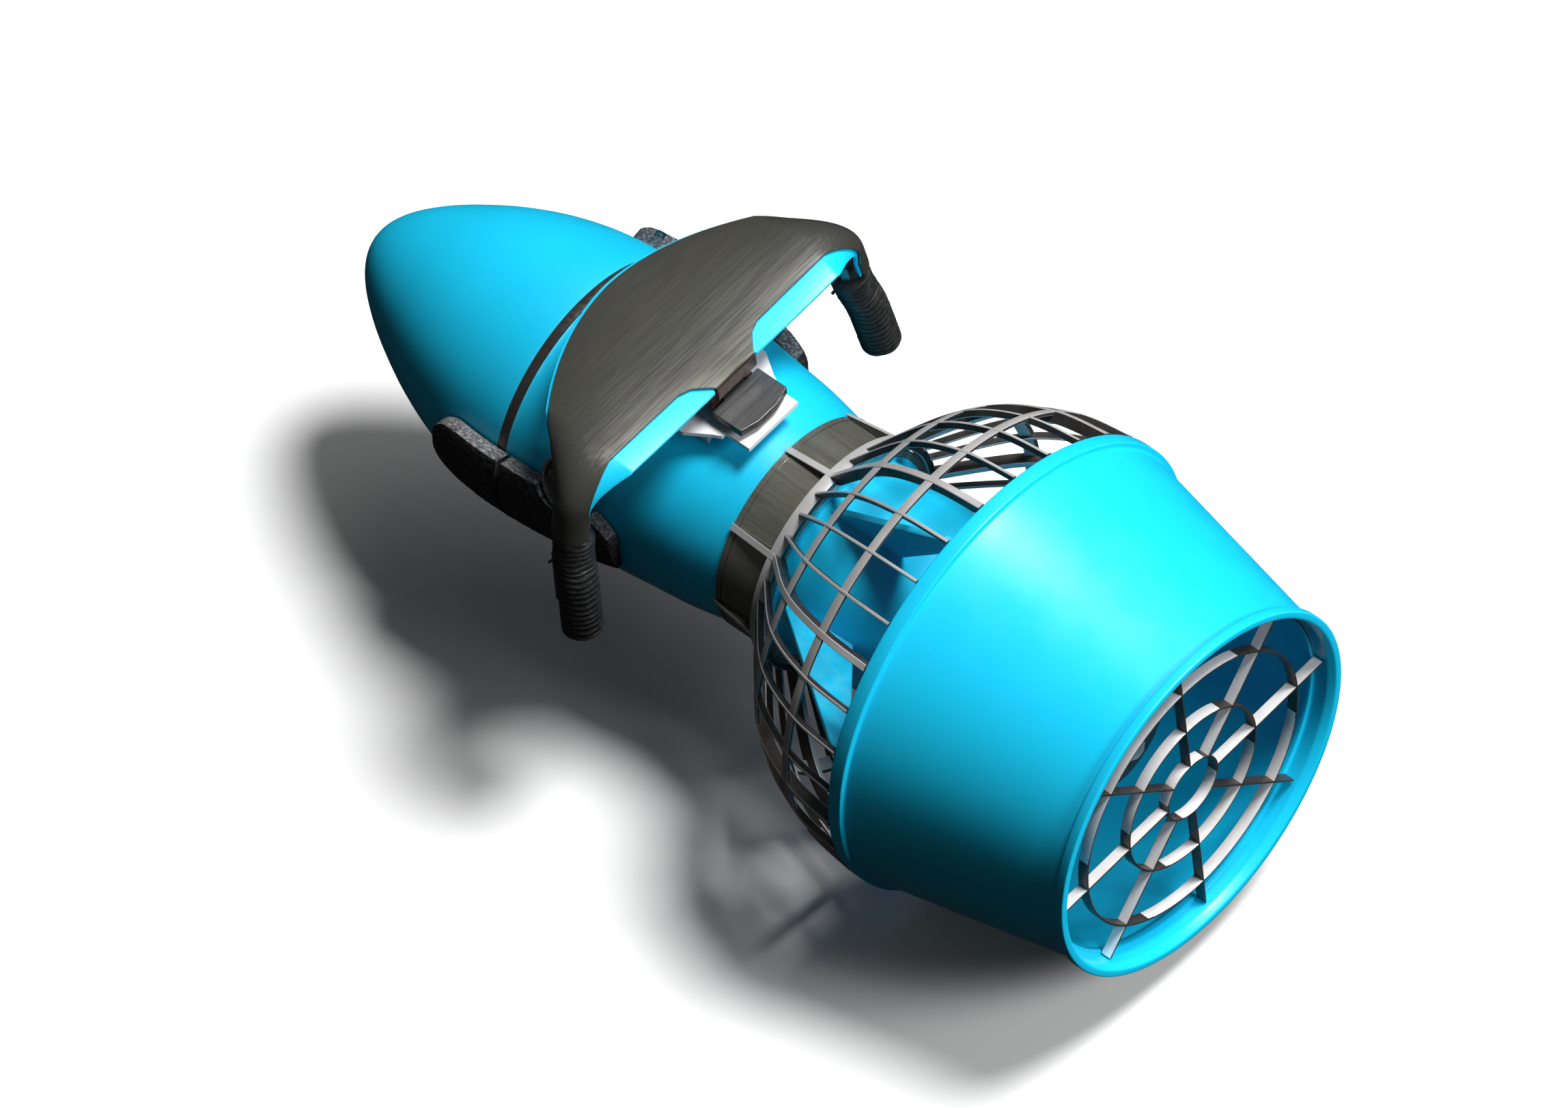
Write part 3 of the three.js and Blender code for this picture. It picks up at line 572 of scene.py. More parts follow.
# ---- shroud, guard, cage and collar --------------------------------------------------------------
def shroud_shape(edge_mm):
    behind = FLANGE_X - FLANGE_LENGTH
    outline = [
        (0, RIM_BORE), (0, RIM_R), (RIM_X, RIM_R), (RIM_X, DUCT_REAR_R), (behind, DUCT_FRONT_R),
        (behind, FLANGE_R), (FLANGE_X, FLANGE_R), (FLANGE_X, DUCT_FRONT_R - 3),
        (behind, DUCT_FRONT_R - DUCT_WALL), (GUARD_X[1] + 8, DUCT_REAR_R + 1.4 - DUCT_WALL),
        (GUARD_X[1] + 4, GUARD_LIP), (GUARD_X[1] + GAP, GUARD_LIP),
        (GUARD_X[1] + GAP, GROOVE_R), (GROOVE_X, GROOVE_R),
    ]
    vertices, faces = turned(rounded(outline, edge_mm, 4))
    # the flat that the flange stands on
    vertices[:, 2] = np.maximum(vertices[:, 2], -FLANGE_FLAT)
    return vertices, faces


def guard_shape():
    x0, x1 = GUARD_X
    half = GUARD_STRIP / 2
    parts = []
    for r in GUARD_RINGS:
        section = [(x0, r - half), (x0, r + half), (x1, r + half), (x1, r - half)]
        parts.append(turned(rounded(section, 0.3, 2), SMALL_TURN_STEPS))
    for i in range(GUARD_SPOKES):
        outer = [(x0, r) for r in np.linspace(GUARD_RINGS[0], GUARD_REACH, 9)]
        inner = [(x1, r) for _, r in outer]
        parts.append(radial_strip(outer, inner, GUARD_STRIP, 360 / GUARD_SPOKES * i, 0.25))
    return joined(parts)


def dome_line(depth, steps=36):
    """[x, radius] along the cage's dome, moved inwards by a depth."""
    knots = [(x, r) for x, r, _ in CAGE_RINGS] + [(FLANGE_X + GAP, FLANGE_R - 0.2)]
    knots = np.array(knots)
    padded = np.vstack([knots[0], knots, knots[-1]])
    line = []
    spans = len(knots) - 1
    for i in range(steps + 1):
        at = min(i / steps * spans, spans - 1e-9)
        k, t = int(at), at - int(at)
        p0, p1, p2, p3 = padded[k:k + 4]
        v0, v1 = (p2 - p0) / 2, (p3 - p1) / 2
        cubed = 2 * p1 - 2 * p2 + v0 + v1
        squared = -3 * p1 + 3 * p2 - 2 * v0 - v1
        here = cubed * t ** 3 + squared * t ** 2 + v0 * t + p1
        along = 3 * cubed * t ** 2 + 2 * squared * t + v0
        along = along / np.linalg.norm(along)
        line.append((here[0] - along[1] * depth, here[1] + along[0] * depth))
    line[-1] = (FLANGE_X + GAP, line[-1][1])
    return line


def cage_shape():
    front_x, front_r, front_width = CAGE_RINGS[0]
    seat = COLLAR_R + GAP + 0.5
    x0, x1 = front_x - front_width / 2, front_x + front_width / 2
    parts = [turned(rounded([(x0, seat), (x0, front_r), (x1, front_r), (x1, seat)], 0.5, 2))]
    for x, r, width in CAGE_RINGS[1:]:
        lean = width / 2 * (0.35 if r > 130 else 0.75)
        parts.append(turned(rounded([
            (x - width / 2, r + lean - CAGE_RING_T), (x - width / 2, r + lean),
            (x + width / 2, r - lean), (x + width / 2, r - lean - CAGE_RING_T)], 0.4, 2)))
    total = CAGE_MAIN * CAGE_PER_BAY
    for i in range(total):
        main = i % CAGE_PER_BAY == 0
        width, depth = MAIN_RIB if main else THIN_RIB
        angle = 360 / total * i
        inner = dome_line(depth)
        inner[0] = (front_x, seat + 0.5)
        parts.append(radial_strip(dome_line(-0.4), inner, width, angle))
        if main:
            # the rib runs on over the collar as a fin
            top = []
            for t in np.linspace(0, 1, 8):
                r = (front_r + 0.4) * (1 - t) + (seat + 0.8) * t
                top.append((front_x + (COLLAR_X[1] - front_x) * t, r))
            low = [(x, seat) for x, _ in top]
            parts.append(radial_strip(top, low, width, angle, 0.3))
    vertices, faces = joined(parts)
    vertices[:, 2] = np.maximum(vertices[:, 2], -FLANGE_FLAT + GAP)
    return vertices, faces


def collar_shape():
    x0, x1 = COLLAR_X
    groove, half = x1 - COLLAR_GROOVE_IN, COLLAR_GROOVE_HALF
    floor = COLLAR_R - COLLAR_GROOVE_DEPTH
    outline = rounded([(x0, COLLAR_BORE), (x0, COLLAR_R)], 0.4, closed=False)
    outline += [(groove - half, COLLAR_R), (groove - half, floor), (groove + half, floor),
                (groove + half, COLLAR_R), (x1 - 0.4, COLLAR_R), (x1, COLLAR_R - 0.4), (x1, COLLAR_BORE)]
    return turned(outline)


# ---- drive ---------------------------------------------------------------------------------------
def pod_shape():
    back = catmull([(116, 40), (150, 50.5), (190, 58), (230, 61.2), (268.4, 62)], 40)
    bore = COLLAR_BORE - GAP
    outline = [(POD_REAR_X, POD_BORE), (POD_REAR_X, 38.6), (POD_REAR_X + 1.2, 39.9)]
    outline += [tuple(p) for p in back[1:]]
    outline += [(269, bore), (288, bore), (288, bore - 5), (269, 58), (230, 57.2), (190, 54), (150, 46.5),
                (POD_REAR_X + WALL, 36), (POD_REAR_X + WALL, POD_BORE)]
    return turned(outline)


def vane_shape(degrees):
    """One stator vane: a thin plate with a rounded leading edge, from the pod out to the shroud."""
    return radial_strip(straight(*VANE_FRONT, 17), straight(*VANE_REAR, 17), VANE_T, degrees, VANE_CHAMFER)


def blade_shape(degrees):
    """One twisted blade: an aerofoil section that changes chord and pitch along the radius."""
    radii, chords, pitches = BLADE_STATIONS.T
    profile = []
    for t in np.linspace(0, 2 * math.pi, 28, endpoint=False):
        c = 0.5 * math.cos(t)
        profile.append((c, 0.5 * math.sin(t) * (1 - 0.35 * (c + 0.5)) + 0.35 * (0.25 - c * c)))
    turn = math.radians(degrees - 90)
    sections = []
    for r in np.linspace(BLADE_ROOT, BLADE_TIP, 34):
        chord = np.interp(r, radii, chords)
        pitch = math.radians(np.interp(r, radii, pitches))
        thick = 5.5 - 3.5 * r / BLADE_TIP
        row = []
        for c, t in profile:
            along, off = c * chord, t * thick
            x = BLADE_X + along * math.sin(pitch) + off * math.cos(pitch)
            y = along * math.cos(pitch) - off * math.sin(pitch)
            row.append((x, y * math.cos(turn) - r * math.sin(turn), y * math.sin(turn) + r * math.cos(turn)))
        sections.append(row)
    return skin(sections)


def propeller_shape():
    hub = rounded([(61, 5.5), (61, 35.5), (62.5, 37), (112, 38), (112, 5.5)], 1.0, 3, least_turn=15)
    return joined([turned(hub)] + [blade_shape(angle) for angle in BLADE_ANGLES])


# ---- hull, nose and band -------------------------------------------------------------------------
def hull_shape():
    spigot = COLLAR_BORE - GAP
    outer = hull_line(HULL_REAR_X, SEAM_X[0] - GAP, 60)
    inner = hull_line(SEAM_X[0] - GAP, 330, 12, WALL)
    outline = [(289, spigot - 5), (289, spigot), (HULL_REAR_X, spigot)] + outer + inner
    return turned(outline + [(318, 62), (318, 20), (312, 20), (312, spigot - 5)])


def nose_spigot():
    """Outer radius of the spigot that slides into the hull."""
    return hull_radius(SPIGOT_X) - WALL - 0.8


def nose_shape():
    start = SEAM_X[1] + GAP
    outer = []
    for t in np.linspace(0, math.pi / 2, 81):
        x = start + (LENGTH - start) * math.sin(t)
        outer.append((x, hull_radius(min(x, LENGTH))))
    outer[-1] = (LENGTH, 0.0)
    inner = []
    for t in np.linspace(0, math.pi / 2, 13):
        x = NOSE_BORE_X - (NOSE_BORE_X - 480) * math.sin(t)
        inner.append((x, max(hull_radius(x + 4) - WALL, 0.0)))
    inner[0] = (NOSE_BORE_X, 0.0)
    r = nose_spigot()
    return turned(outer + inner + [(SPIGOT_X, r - 3.4), (SPIGOT_X, r), (start, r)])


def band_shape():
    x0, x1 = SEAM_X
    low, high = nose_spigot() + GAP, 85.7
    return turned(rounded([(x0, low), (x0, high), (x1, high), (x1, low)], 0.45, 3))


# ---- console -------------------------------------------------------------------------------------
WING = {"top": 121.5, "bend_y": 88.0, "bend_r": 40.0, "tip": 80.0, "run": 16.0, "lead": 378.3}
PLATE_T, SHELL_T, SEAT = 1.2, 2.5, 1.0


def wing_route():
    """Outer face of the wing from the centreline out: [y, z, tilt], then down the bend."""
    route = [(y, WING["top"], 0.0) for y in np.linspace(0, WING["bend_y"], 45)]
    for tilt in np.linspace(0, WING["tip"], 33)[1:]:
        a = math.radians(tilt)
        route.append((WING["bend_y"] + WING["bend_r"] * math.sin(a),
                      WING["top"] - WING["bend_r"] * (1 - math.cos(a)), tilt))
    y, z, tilt = route[-1]
    a = math.radians(tilt)
    for t in np.linspace(0, 1, 9)[1:]:
        route.append((y + WING["run"] * t * math.cos(a), z - WING["run"] * t * math.sin(a), tilt))
    return route


def wing_chord(y, tilt):
    """Middle, half length and wrap angle of the wing's section."""
    lead = max(442 - 0.0042 * y * y, WING["lead"])
    trail = 341 if y < 90 else 341 + (y - 90) * 0.29
    wrap = 9 + y / 10 if tilt == 0 else 18 + tilt / WING["tip"] * 76
    return (lead + trail) / 2, (lead - trail) / 2, wrap


def wing_strip(lift, thick, trim, arc_steps=48, corner=0.5):
    """A strip of the wing as lofted arcs, with rounded front and back edges."""
    route = wing_route()
    sides = [(-y, z, -tilt) for y, z, tilt in reversed(route[1:])] + route
    sections = []
    for y, z, tilt in sides:
        mid, half, wrap = wing_chord(abs(y), abs(tilt))
        front, back = trim(abs(y))
        radius = half / math.sin(math.radians(min(wrap, 90)))
        start = -math.radians(wrap) + back / radius
        stop = math.radians(wrap) - front / radius
        c = min(corner, thick * 0.45)
        grid = np.linspace(start * radius + c, stop * radius - c, arc_steps + 1)
        outline = [(start * radius, lift - c)]
        outline += [(s, lift) for s in grid]
        outline += [(stop * radius, lift - c), (stop * radius, lift - thick + c)]
        outline += [(s, lift - thick) for s in reversed(grid)]
        outline.append((start * radius, lift - thick + c))
        row = []
        for s, up in outline:
            angle, r = s / radius, radius + up
            rise = r * math.cos(angle) - radius
            a = math.radians(tilt)
            row.append((mid + r * math.sin(angle), y + rise * math.sin(a), z + rise * math.cos(a)))
        sections.append(row)
    return skin(sections)


def plate_trim(y):
    """How far the plate stops short of the shell at the front and at the back."""
    out = [0, 16.4, 17.2, 26, 34, 58, 92, 108, 126]
    back = [0.5, 0.5, 2.5, 11.0, 13.8, 14.2, 14.2, 8.0, 2.0]
    return 3.5, float(np.interp(y, out, back))


def shell_trim(y):
    return 0.0, float(np.interp(y, [0, 16.0, 17.0], [2.8, 2.8, 0.0]))


# ---- cover flap ----------------------------------------------------------------------------------
FLAP_PIN = (347.6, 93.4)
FLAP_PLAN = ((-2.9, 9.0), (-2.9, 19.9), (-25.1, 19.9), (-28.5, 7.4))
FLAP_T, FLAP_KNUCKLE, FLAP_KNUCKLE_Y = 5.5, 2.6, 9.0


def flap_shape():
    """The leaf, a bow-ended tongue, and the knuckle that it turns on."""
    half = [(0.0, FLAP_KNUCKLE_Y)] + list(FLAP_PLAN)
    plan = rounded(half + [(x, -y) for x, y in reversed(half)], 0.9, 4)
    leaf = skin([[(x, y, z) for x, y in plan] for z in (FLAP_KNUCKLE - FLAP_T, FLAP_KNUCKLE)])
    ring = circle(FLAP_KNUCKLE, 48)
    knuckle = skin([[(x, y, z) for x, z in ring] for y in (-FLAP_KNUCKLE_Y, FLAP_KNUCKLE_Y)])
    vertices, faces = joined([leaf, knuckle])
    return vertices + np.array([FLAP_PIN[0], 0.0, FLAP_PIN[1]]), faces


# ---- hand grips ----------------------------------------------------------------------------------
GRIP_ROUTE = [
    (366, 103.3, 97), (364.8, 111, 93.2), (364.6, 114.4, 86.1), (365, 117.2, 70.4), (365, 119.6, 57),
    (363.6, 121.7, 46), (360.3, 124.4, 32), (357, 128.3, -2), (356.8, 128.6, -5),
]
GRIP_R, GRIP_FROM = 12.5, 0.32
SLOT_TOP, SLOT_BOTTOM = np.array([365, 119.2, 57.0]), np.array([357, 128.3, -2.0])
SLOT_START, SLOT_LENGTH, SLOT_HALF, SLOT_FLOOR = 10.0, 36.0, 5.0, 8.5


def grip_shape(pitch_mm, depth_mm):
    """A wrinkled ribbed sleeve along the grip, with the slot that the trigger lies in."""
    line = catmull(GRIP_ROUTE, 400)
    line = line[int(GRIP_FROM * 400):]
    along = np.concatenate([[0], np.cumsum(np.linalg.norm(np.diff(line, axis=0), axis=1))])
    total = along[-1]
    steps, sides = 420, 112
    wanted = np.linspace(0, total, steps)
    centres = np.stack([np.interp(wanted, along, line[:, i]) for i in range(3)], axis=1)
    tangents = np.gradient(centres, axis=0)
    tangents /= np.linalg.norm(tangents, axis=1)[:, None]
    side = np.array([1.0, 0.0, 0.0])
    sections = []
    for k in range(steps):
        t = tangents[k]
        side = side - t * np.dot(side, t)
        side /= np.linalg.norm(side)
        other = np.cross(t, side)
        s = wanted[k]
        end = min(s, total - s)
        close = math.sqrt(max(1 - (1 - min(end / 3.0, 1.0)) ** 2, 0.0))
        row = []
        for i in range(sides):
            a = 2 * math.pi * i / sides
            wander = noise.noise(Vector((math.cos(a) * 1.3, math.sin(a) * 1.3, s * 0.06))) * 1.8
            wave = 0.5 + 0.5 * math.cos(2 * math.pi * (s + wander) / pitch_mm)
            wrinkle = noise.noise(Vector((math.cos(a) * 5, math.sin(a) * 5, s * 0.9))) * 0.22
            r = (GRIP_R - 0.1 - depth_mm * (1 - wave ** 0.7) + wrinkle - 0.2) * (0.62 + 0.38 * close)
            row.append(centres[k] + side * r * math.cos(a) + other * r * math.sin(a))
        sections.append(row)
    vertices, faces = skin(sections)
    up = (SLOT_TOP - SLOT_BOTTOM) / np.linalg.norm(SLOT_TOP - SLOT_BOTTOM)
    across = np.cross(up, [1.0, 0.0, 0.0])
    across /= np.linalg.norm(across)
    forward = np.cross(across, up)
    local = vertices - (SLOT_TOP - up * SLOT_START)
    depth, wide, high = local @ forward, local @ across, local @ up
    inside = (depth > SLOT_FLOOR) & (np.abs(wide) < SLOT_HALF) & (high < 1.0) & (high > -SLOT_LENGTH - 1.0)
    vertices[inside] -= np.outer(depth[inside] - SLOT_FLOOR, forward)
    return vertices, faces


# ---- bumpers and latches -------------------------------------------------------------------------
def bumper_shape(x0, x1, free_end, taper):
    """A pad that wraps the hull's side, thins out at its free end and is bluntly cut at the other."""
    steps = max(int(abs(x1 - x0) / 1.1), 30)
    arc = 60
    sections = []
    for x in np.linspace(x0, x1, steps + 1):
        away = min(abs(x - free_end) / taper, 1.0)
        full = math.sqrt(1 - (1 - away) ** 2)
        top = PAD_TOP - 14 * (1 - full)
        bottom = PAD_BOTTOM + 4 * (1 - full)
        inner = hull_radius(x) + PAD_LIFT
        row = [on_hull(x, bottom + (top - bottom) * k / 24, inner) for k in range(25)]
        for k in range(arc, -1, -1):
            t = k / arc
            crown = PAD_CROWN * math.sin(t * math.pi) ** 0.7
            thick = (PAD_BOTTOM_T + (PAD_TOP_T - PAD_BOTTOM_T) * t + crown) * (0.6 + 0.4 * full)
            row.append(on_hull(x, bottom + (top - bottom) * t, inner + thick))
        sections.append(row)
    return skin(sections)


def cut_recess(obj, side):
    """Cuts the round recess that the latch knob sits in."""
    ring = circle(KNOB_R + KNOB_RECESS_GAP, 96)
    vertices, faces = skin([[(h, u, w) for u, w in ring] for h in (60.0, 120.0)])
    mesh = bpy.data.meshes.new("cutter")
    mesh.from_pydata(place(moved_by(knob_matrix(side), vertices)).tolist(), [], faces)
    cutter = bpy.data.objects.new("cutter", mesh)
    bpy.context.scene.collection.objects.link(cutter)
    cut = obj.modifiers.new("recess", "BOOLEAN")
    cut.operation = "DIFFERENCE"
    cut.solver = "EXACT"
    cut.object = cutter
    bake(obj)
    bpy.data.objects.remove(cutter)


def bake(obj):
    """Replaces an object's mesh with what its modifiers make of it."""
    bpy.context.view_layer.update()
    graph = bpy.context.evaluated_depsgraph_get()
    made = bpy.data.meshes.new_from_object(obj.evaluated_get(graph))
    obj.modifiers.clear()
    obj.data = made


def roughen(obj, height):
    """Moves the outer points of a foam piece along their normals by a fine cloud."""
    mesh = obj.data
    normals = [normal.vector.copy() for normal in mesh.vertex_normals]
    moved = []
    for vertex, normal in zip(mesh.vertices, normals):
        point = vertex.co.copy()
        away = math.hypot(point.y, point.z - AXIS_Z) / MM
        if away > hull_radius((point.x - REAR) / MM) + 2.0:
            fine = noise.noise(point * 480.0) + 0.6 * noise.noise(point * 1300.0) - 0.8
            point += normal * height * fine
        moved.extend(point)
    mesh.vertices.foreach_set("co", moved)
    mesh.update()


def knob_matrix(side):
    """Takes +X to the knob's own axis, out from the thrust axis at the knob's station."""
    angle = math.radians(KNOB_ANGLE)
    out = Vector((0.0, side * math.cos(angle), math.sin(angle)))
    ahead = Vector((1.0, 0.0, 0.0))
    across = out.cross(ahead)
    turn = Matrix((out, ahead, across)).transposed().to_4x4()
    turn.translation = Vector((KNOB_X, 0.0, 0.0))
    return turn


def knob_shape(side):
    """A dished disc with a raised rim and a finger bar, on its stem."""
    seat = hull_radius(KNOB_X) + 3
    top = seat + KNOB_T
    low, stem_r = KNOB_STEM
    outline = [
        (low, 0), (low, stem_r), (seat, stem_r), (seat, KNOB_R - 0.8), (seat + 0.8, KNOB_R),
        (top - 0.9, KNOB_R), (top - 0.2, KNOB_R - 0.5), (top, KNOB_R - 1.2), (top - 0.1, KNOB_R - 2.2),
        (top - 1.6, KNOB_R - 3.2), (top - 2.0, KNOB_R - 4.5), (top - 2.0, 0),
    ]
    disc = turned(outline, SMALL_TURN_STEPS)
    rows = []
    for h in np.linspace(-14, 14, 29):
        half = 2.6 * math.sqrt(max(1 - (h / 14.8) ** 4, 0.0)) + 0.2
        rows.append([
            (top - 2.2, h, -half), (top - 0.9, h, -half), (top - 0.2, h, -half + 0.6),
            (top - 0.2, h, half - 0.6), (top - 0.9, h, half), (top - 2.2, h, half),
        ])
    vertices, faces = joined([disc, skin(rows)])
    return moved_by(knob_matrix(side), vertices), faces


# ---- operators -----------------------------------------------------------------------------------
class ScooterOperator(bpy.types.Operator):
    """Shared options of the scooter's operators."""

    bl_options = {"REGISTER", "UNDO"}


class SCOOTER_OT_finishes(ScooterOperator):
    """Makes every finish from the panel's colours"""

    bl_idname = "scooter.finishes"
    bl_label = "Make finishes"

    def execute(self, context):
        make_finishes(context.scene.scooter_colours)
        return {"FINISHED"}


class SCOOTER_OT_shroud(ScooterOperator):
    """Builds the ducted shroud with its rim and flange"""

    bl_idname = "scooter.shroud"
    bl_label = "Shroud"

    def execute(self, context):
        edge = context.scene.scooter_sizes.edge_radius / MM
        piece("shroud_skin", shroud_shape(edge), "hull", ["shroud"], [FINISHES["shell"]])
        return {"FINISHED"}


class SCOOTER_OT_guard(ScooterOperator):
    """Builds the ring-and-spoke guard across the duct's outlet"""

    bl_idname = "scooter.guard"
    bl_label = "Rear guard"

    def execute(self, context):
        guard = piece("guard_strips", guard_shape(), "hull", ["rear_guard"],
                      [FINISHES["guard"], FINISHES["strip_edge_shade"]])
        lit = Vector((0.0, 0.4, 0.92))
        # Painted light and shade: broad faces square to the lit direction get the pale guard finish; faces
        # side-on to it, and the narrow front and back faces, get the dark strip finish.
        paint(guard, lambda centre, normal: abs(normal.x) > 0.6 or abs(normal.dot(lit)) < 0.6, 1)
        return {"FINISHED"}


class SCOOTER_OT_cage(ScooterOperator):
    """Builds the domed intake cage and the fins over the collar"""

    bl_idname = "scooter.cage"
    bl_label = "Intake cage"

    def execute(self, context):
        cage = piece("cage_strips", cage_shape(), "hull", ["intake_cage"],
                     [FINISHES["strip"], FINISHES["strip_edge_shade"]])
        # the narrow side faces of the strips get the dark finish as painted shade
        paint(cage, lambda centre, normal: abs(outward(centre, normal)) < 0.25, 1)
        return {"FINISHED"}


class SCOOTER_OT_collar(ScooterOperator):
    """Builds the grooved metal collar between hull and cage"""

    bl_idname = "scooter.collar"
    bl_label = "Collar"

    def execute(self, context):
        piece("collar_ring", collar_shape(), "hull", ["collar"], [FINISHES["collar"]])
        return {"FINISHED"}


class SCOOTER_OT_pod(ScooterOperator):
    """Builds the motor pod and its four stator vanes"""

    bl_idname = "scooter.pod"
    bl_label = "Motor pod"

    def execute(self, context):
        shape = joined([pod_shape()] + [vane_shape(angle) for angle in VANE_ANGLES])
        piece("pod_skin", shape, "hull", ["motor_pod"], [FINISHES["shell"]])
        return {"FINISHED"}


class SCOOTER_OT_propeller(ScooterOperator):
    """Builds the propeller's hub and twisted blades"""

    bl_idname = "scooter.propeller"
    bl_label = "Propeller"

    def execute(self, context):
        piece("propeller_blades", propeller_shape(), "drive", ["propeller"], [FINISHES["black"]])
        return {"FINISHED"}


class SCOOTER_OT_hull(ScooterOperator):
    """Builds the hull shell, the pull-off nose and the band between them"""

    bl_idname = "scooter.hull"
    bl_label = "Hull and nose"

    def execute(self, context):
        piece("hull_skin", hull_shape(), "hull", ["main_hull"], [FINISHES["shell"]])
        piece("nose_skin", nose_shape(), "nose", ["nose_cone"], [FINISHES["shell"]])
        piece("nose_band", band_shape(), "nose", ["seam_band"], [FINISHES["band"]])
        return {"FINISHED"}


class SCOOTER_OT_console(ScooterOperator):
    """Builds the winged console: its moulded shell and the brushed plate on it"""

    bl_idname = "scooter.console"
    bl_label = "Console"

    def execute(self, context):
        piece("console_wing", wing_strip(-PLATE_T - SEAT, SHELL_T, shell_trim), "hull", ["console_shell"],
              [FINISHES["shell"]], 45)
        piece("console_cover", wing_strip(0, PLATE_T, plate_trim, corner=0.35), "hull", ["console_plate"],
              [FINISHES["plate"]], 45)
        return {"FINISHED"}


class SCOOTER_OT_flap(ScooterOperator):
    """Builds the hinged cover flap behind the console"""

    bl_idname = "scooter.flap"
    bl_label = "Cover flap"

    def execute(self, context):
        flap = piece("flap_leaf", flap_shape(), "flap", ["rear_flap"],
                     [FINISHES["tongue"], FINISHES["black"]])
        paint(flap, lambda centre, normal: normal.z < 0.9, 1)
        soften(flap, 0.5, 3)
        return {"FINISHED"}


class SCOOTER_OT_grips(ScooterOperator):
    """Builds the two ribbed hand grips"""

    bl_idname = "scooter.grips"
    bl_label = "Hand grips"

    def execute(self, context):
        sizes = context.scene.scooter_sizes
        vertices, faces = grip_shape(sizes.rib_pitch / MM, sizes.rib_depth / MM)
        for name, side in SIDES:
            points = vertices if side > 0 else mirrored(vertices)
            piece(f"{name}_grip_sleeve", (points, faces), "hull", [f"{name}_grip"], [FINISHES["rubber"]],
                  60)
        return {"FINISHED"}


class SCOOTER_OT_bumpers(ScooterOperator):
    """Builds the rough foam bumpers on both sides, split at the nose"""

    bl_idname = "scooter.bumpers"
    bl_label = "Side bumpers"

    def execute(self, context):
        relief = context.scene.scooter_sizes.foam_relief
        finishes = [FINISHES["foam"], FINISHES["foam_top"]]
        for name, side in SIDES:
            for part, shape in (
                    ("nose", bumper_shape(*PAD_NOSE, PAD_NOSE[1], PAD_NOSE_TAPER)),
                    ("hull", bumper_shape(*PAD_REAR, PAD_REAR[0], PAD_REAR_TAPER))):
                vertices, faces = shape
                if side < 0:
                    vertices = mirrored(vertices)
                pad = piece(f"{name}_{part}_pad", (vertices, faces), part, [f"{name}_{part}_bumper"],
                            finishes, 50)
                if part == "hull":
                    cut_recess(pad, side)
                paint(pad, lambda centre, normal: self.is_top(centre, normal, side), 1)
                soften(pad, 1.2, 3, 50)
                bake(pad)
                roughen(pad, relief)
                smooth(pad, 60)
        return {"FINISHED"}

    @staticmethod
    def is_top(centre, normal, side):
        """True on the narrow face that runs along the bumper's upper edge."""
        around = math.degrees(math.atan2(centre.z - AXIS_Z, side * centre.y))
        tangent = Vector((0.0, -side * math.sin(math.radians(around)), math.cos(math.radians(around))))
        return around > 0 and normal.dot(tangent) > 0.6


class SCOOTER_OT_latches(ScooterOperator):
    """Builds the two latch knobs"""

    bl_idname = "scooter.latches"
    bl_label = "Latch knobs"

    def execute(self, context):
        for name, side in SIDES:
            knob = piece(f"{name}_knob_disc", knob_shape(side), f"{name}_latch", [f"{name}_latch_knob"],
                         [FINISHES["knob"], FINISHES["rim"]], 30)
            out = knob_matrix(side).to_3x3() @ Vector((1.0, 0.0, 0.0))
            centre_line = Vector(place([(KNOB_X, 0, 0)])[0])

            def on_rim(centre, normal):
                flat = centre - centre_line
                away = (flat - out * flat.dot(out)).length / MM
                return away > KNOB_R - 2.6 and normal.dot(out) > -0.2

            # the rim and side faces take the bright rim finish, a painted highlight
            paint(knob, on_rim, 1)
        return {"FINISHED"}


class SCOOTER_OT_small_parts(ScooterOperator):
    """Gives the carried-over CAD nodes their finishes and rounded edges"""

    bl_idname = "scooter.small_parts"
    bl_label = "Small parts"

    KEPT = {
        "steel": ["motor_bulkhead", "front_bearing", "rear_bearing", "prop_washer", "prop_nut", "shear_pin",
                  "drive_shaft", "hinge_pin", "port_trigger_pin", "starboard_trigger_pin", "port_latch_cam",
                  "starboard_latch_cam", "port_handle_core", "starboard_handle_core"],
        "black": ["motor_can", "shaft_seal", "battery_pack", "battery_foot", "battery_strap", "console_riser",
                  "charge_socket"],
        "cast": ["motor_magnets", "ballast"],
        "copper": ["motor_rotor", "terminal_positive", "terminal_negative"],
        "board": ["speed_controller", "display_board"],
        "white": ["saddle_bracket"],
        "brown": ["hinge_block"],
        "tongue": ["port_trigger", "starboard_trigger"],
    }

    def execute(self, context):
        for finish, names in self.KEPT.items():
            for name in names:
                node = frame["nodes"][name]
                node.data.materials.clear()
                node.data.materials.append(FINISHES[finish])
                soften(node, 0.35, 2)
        return {"FINISHED"}


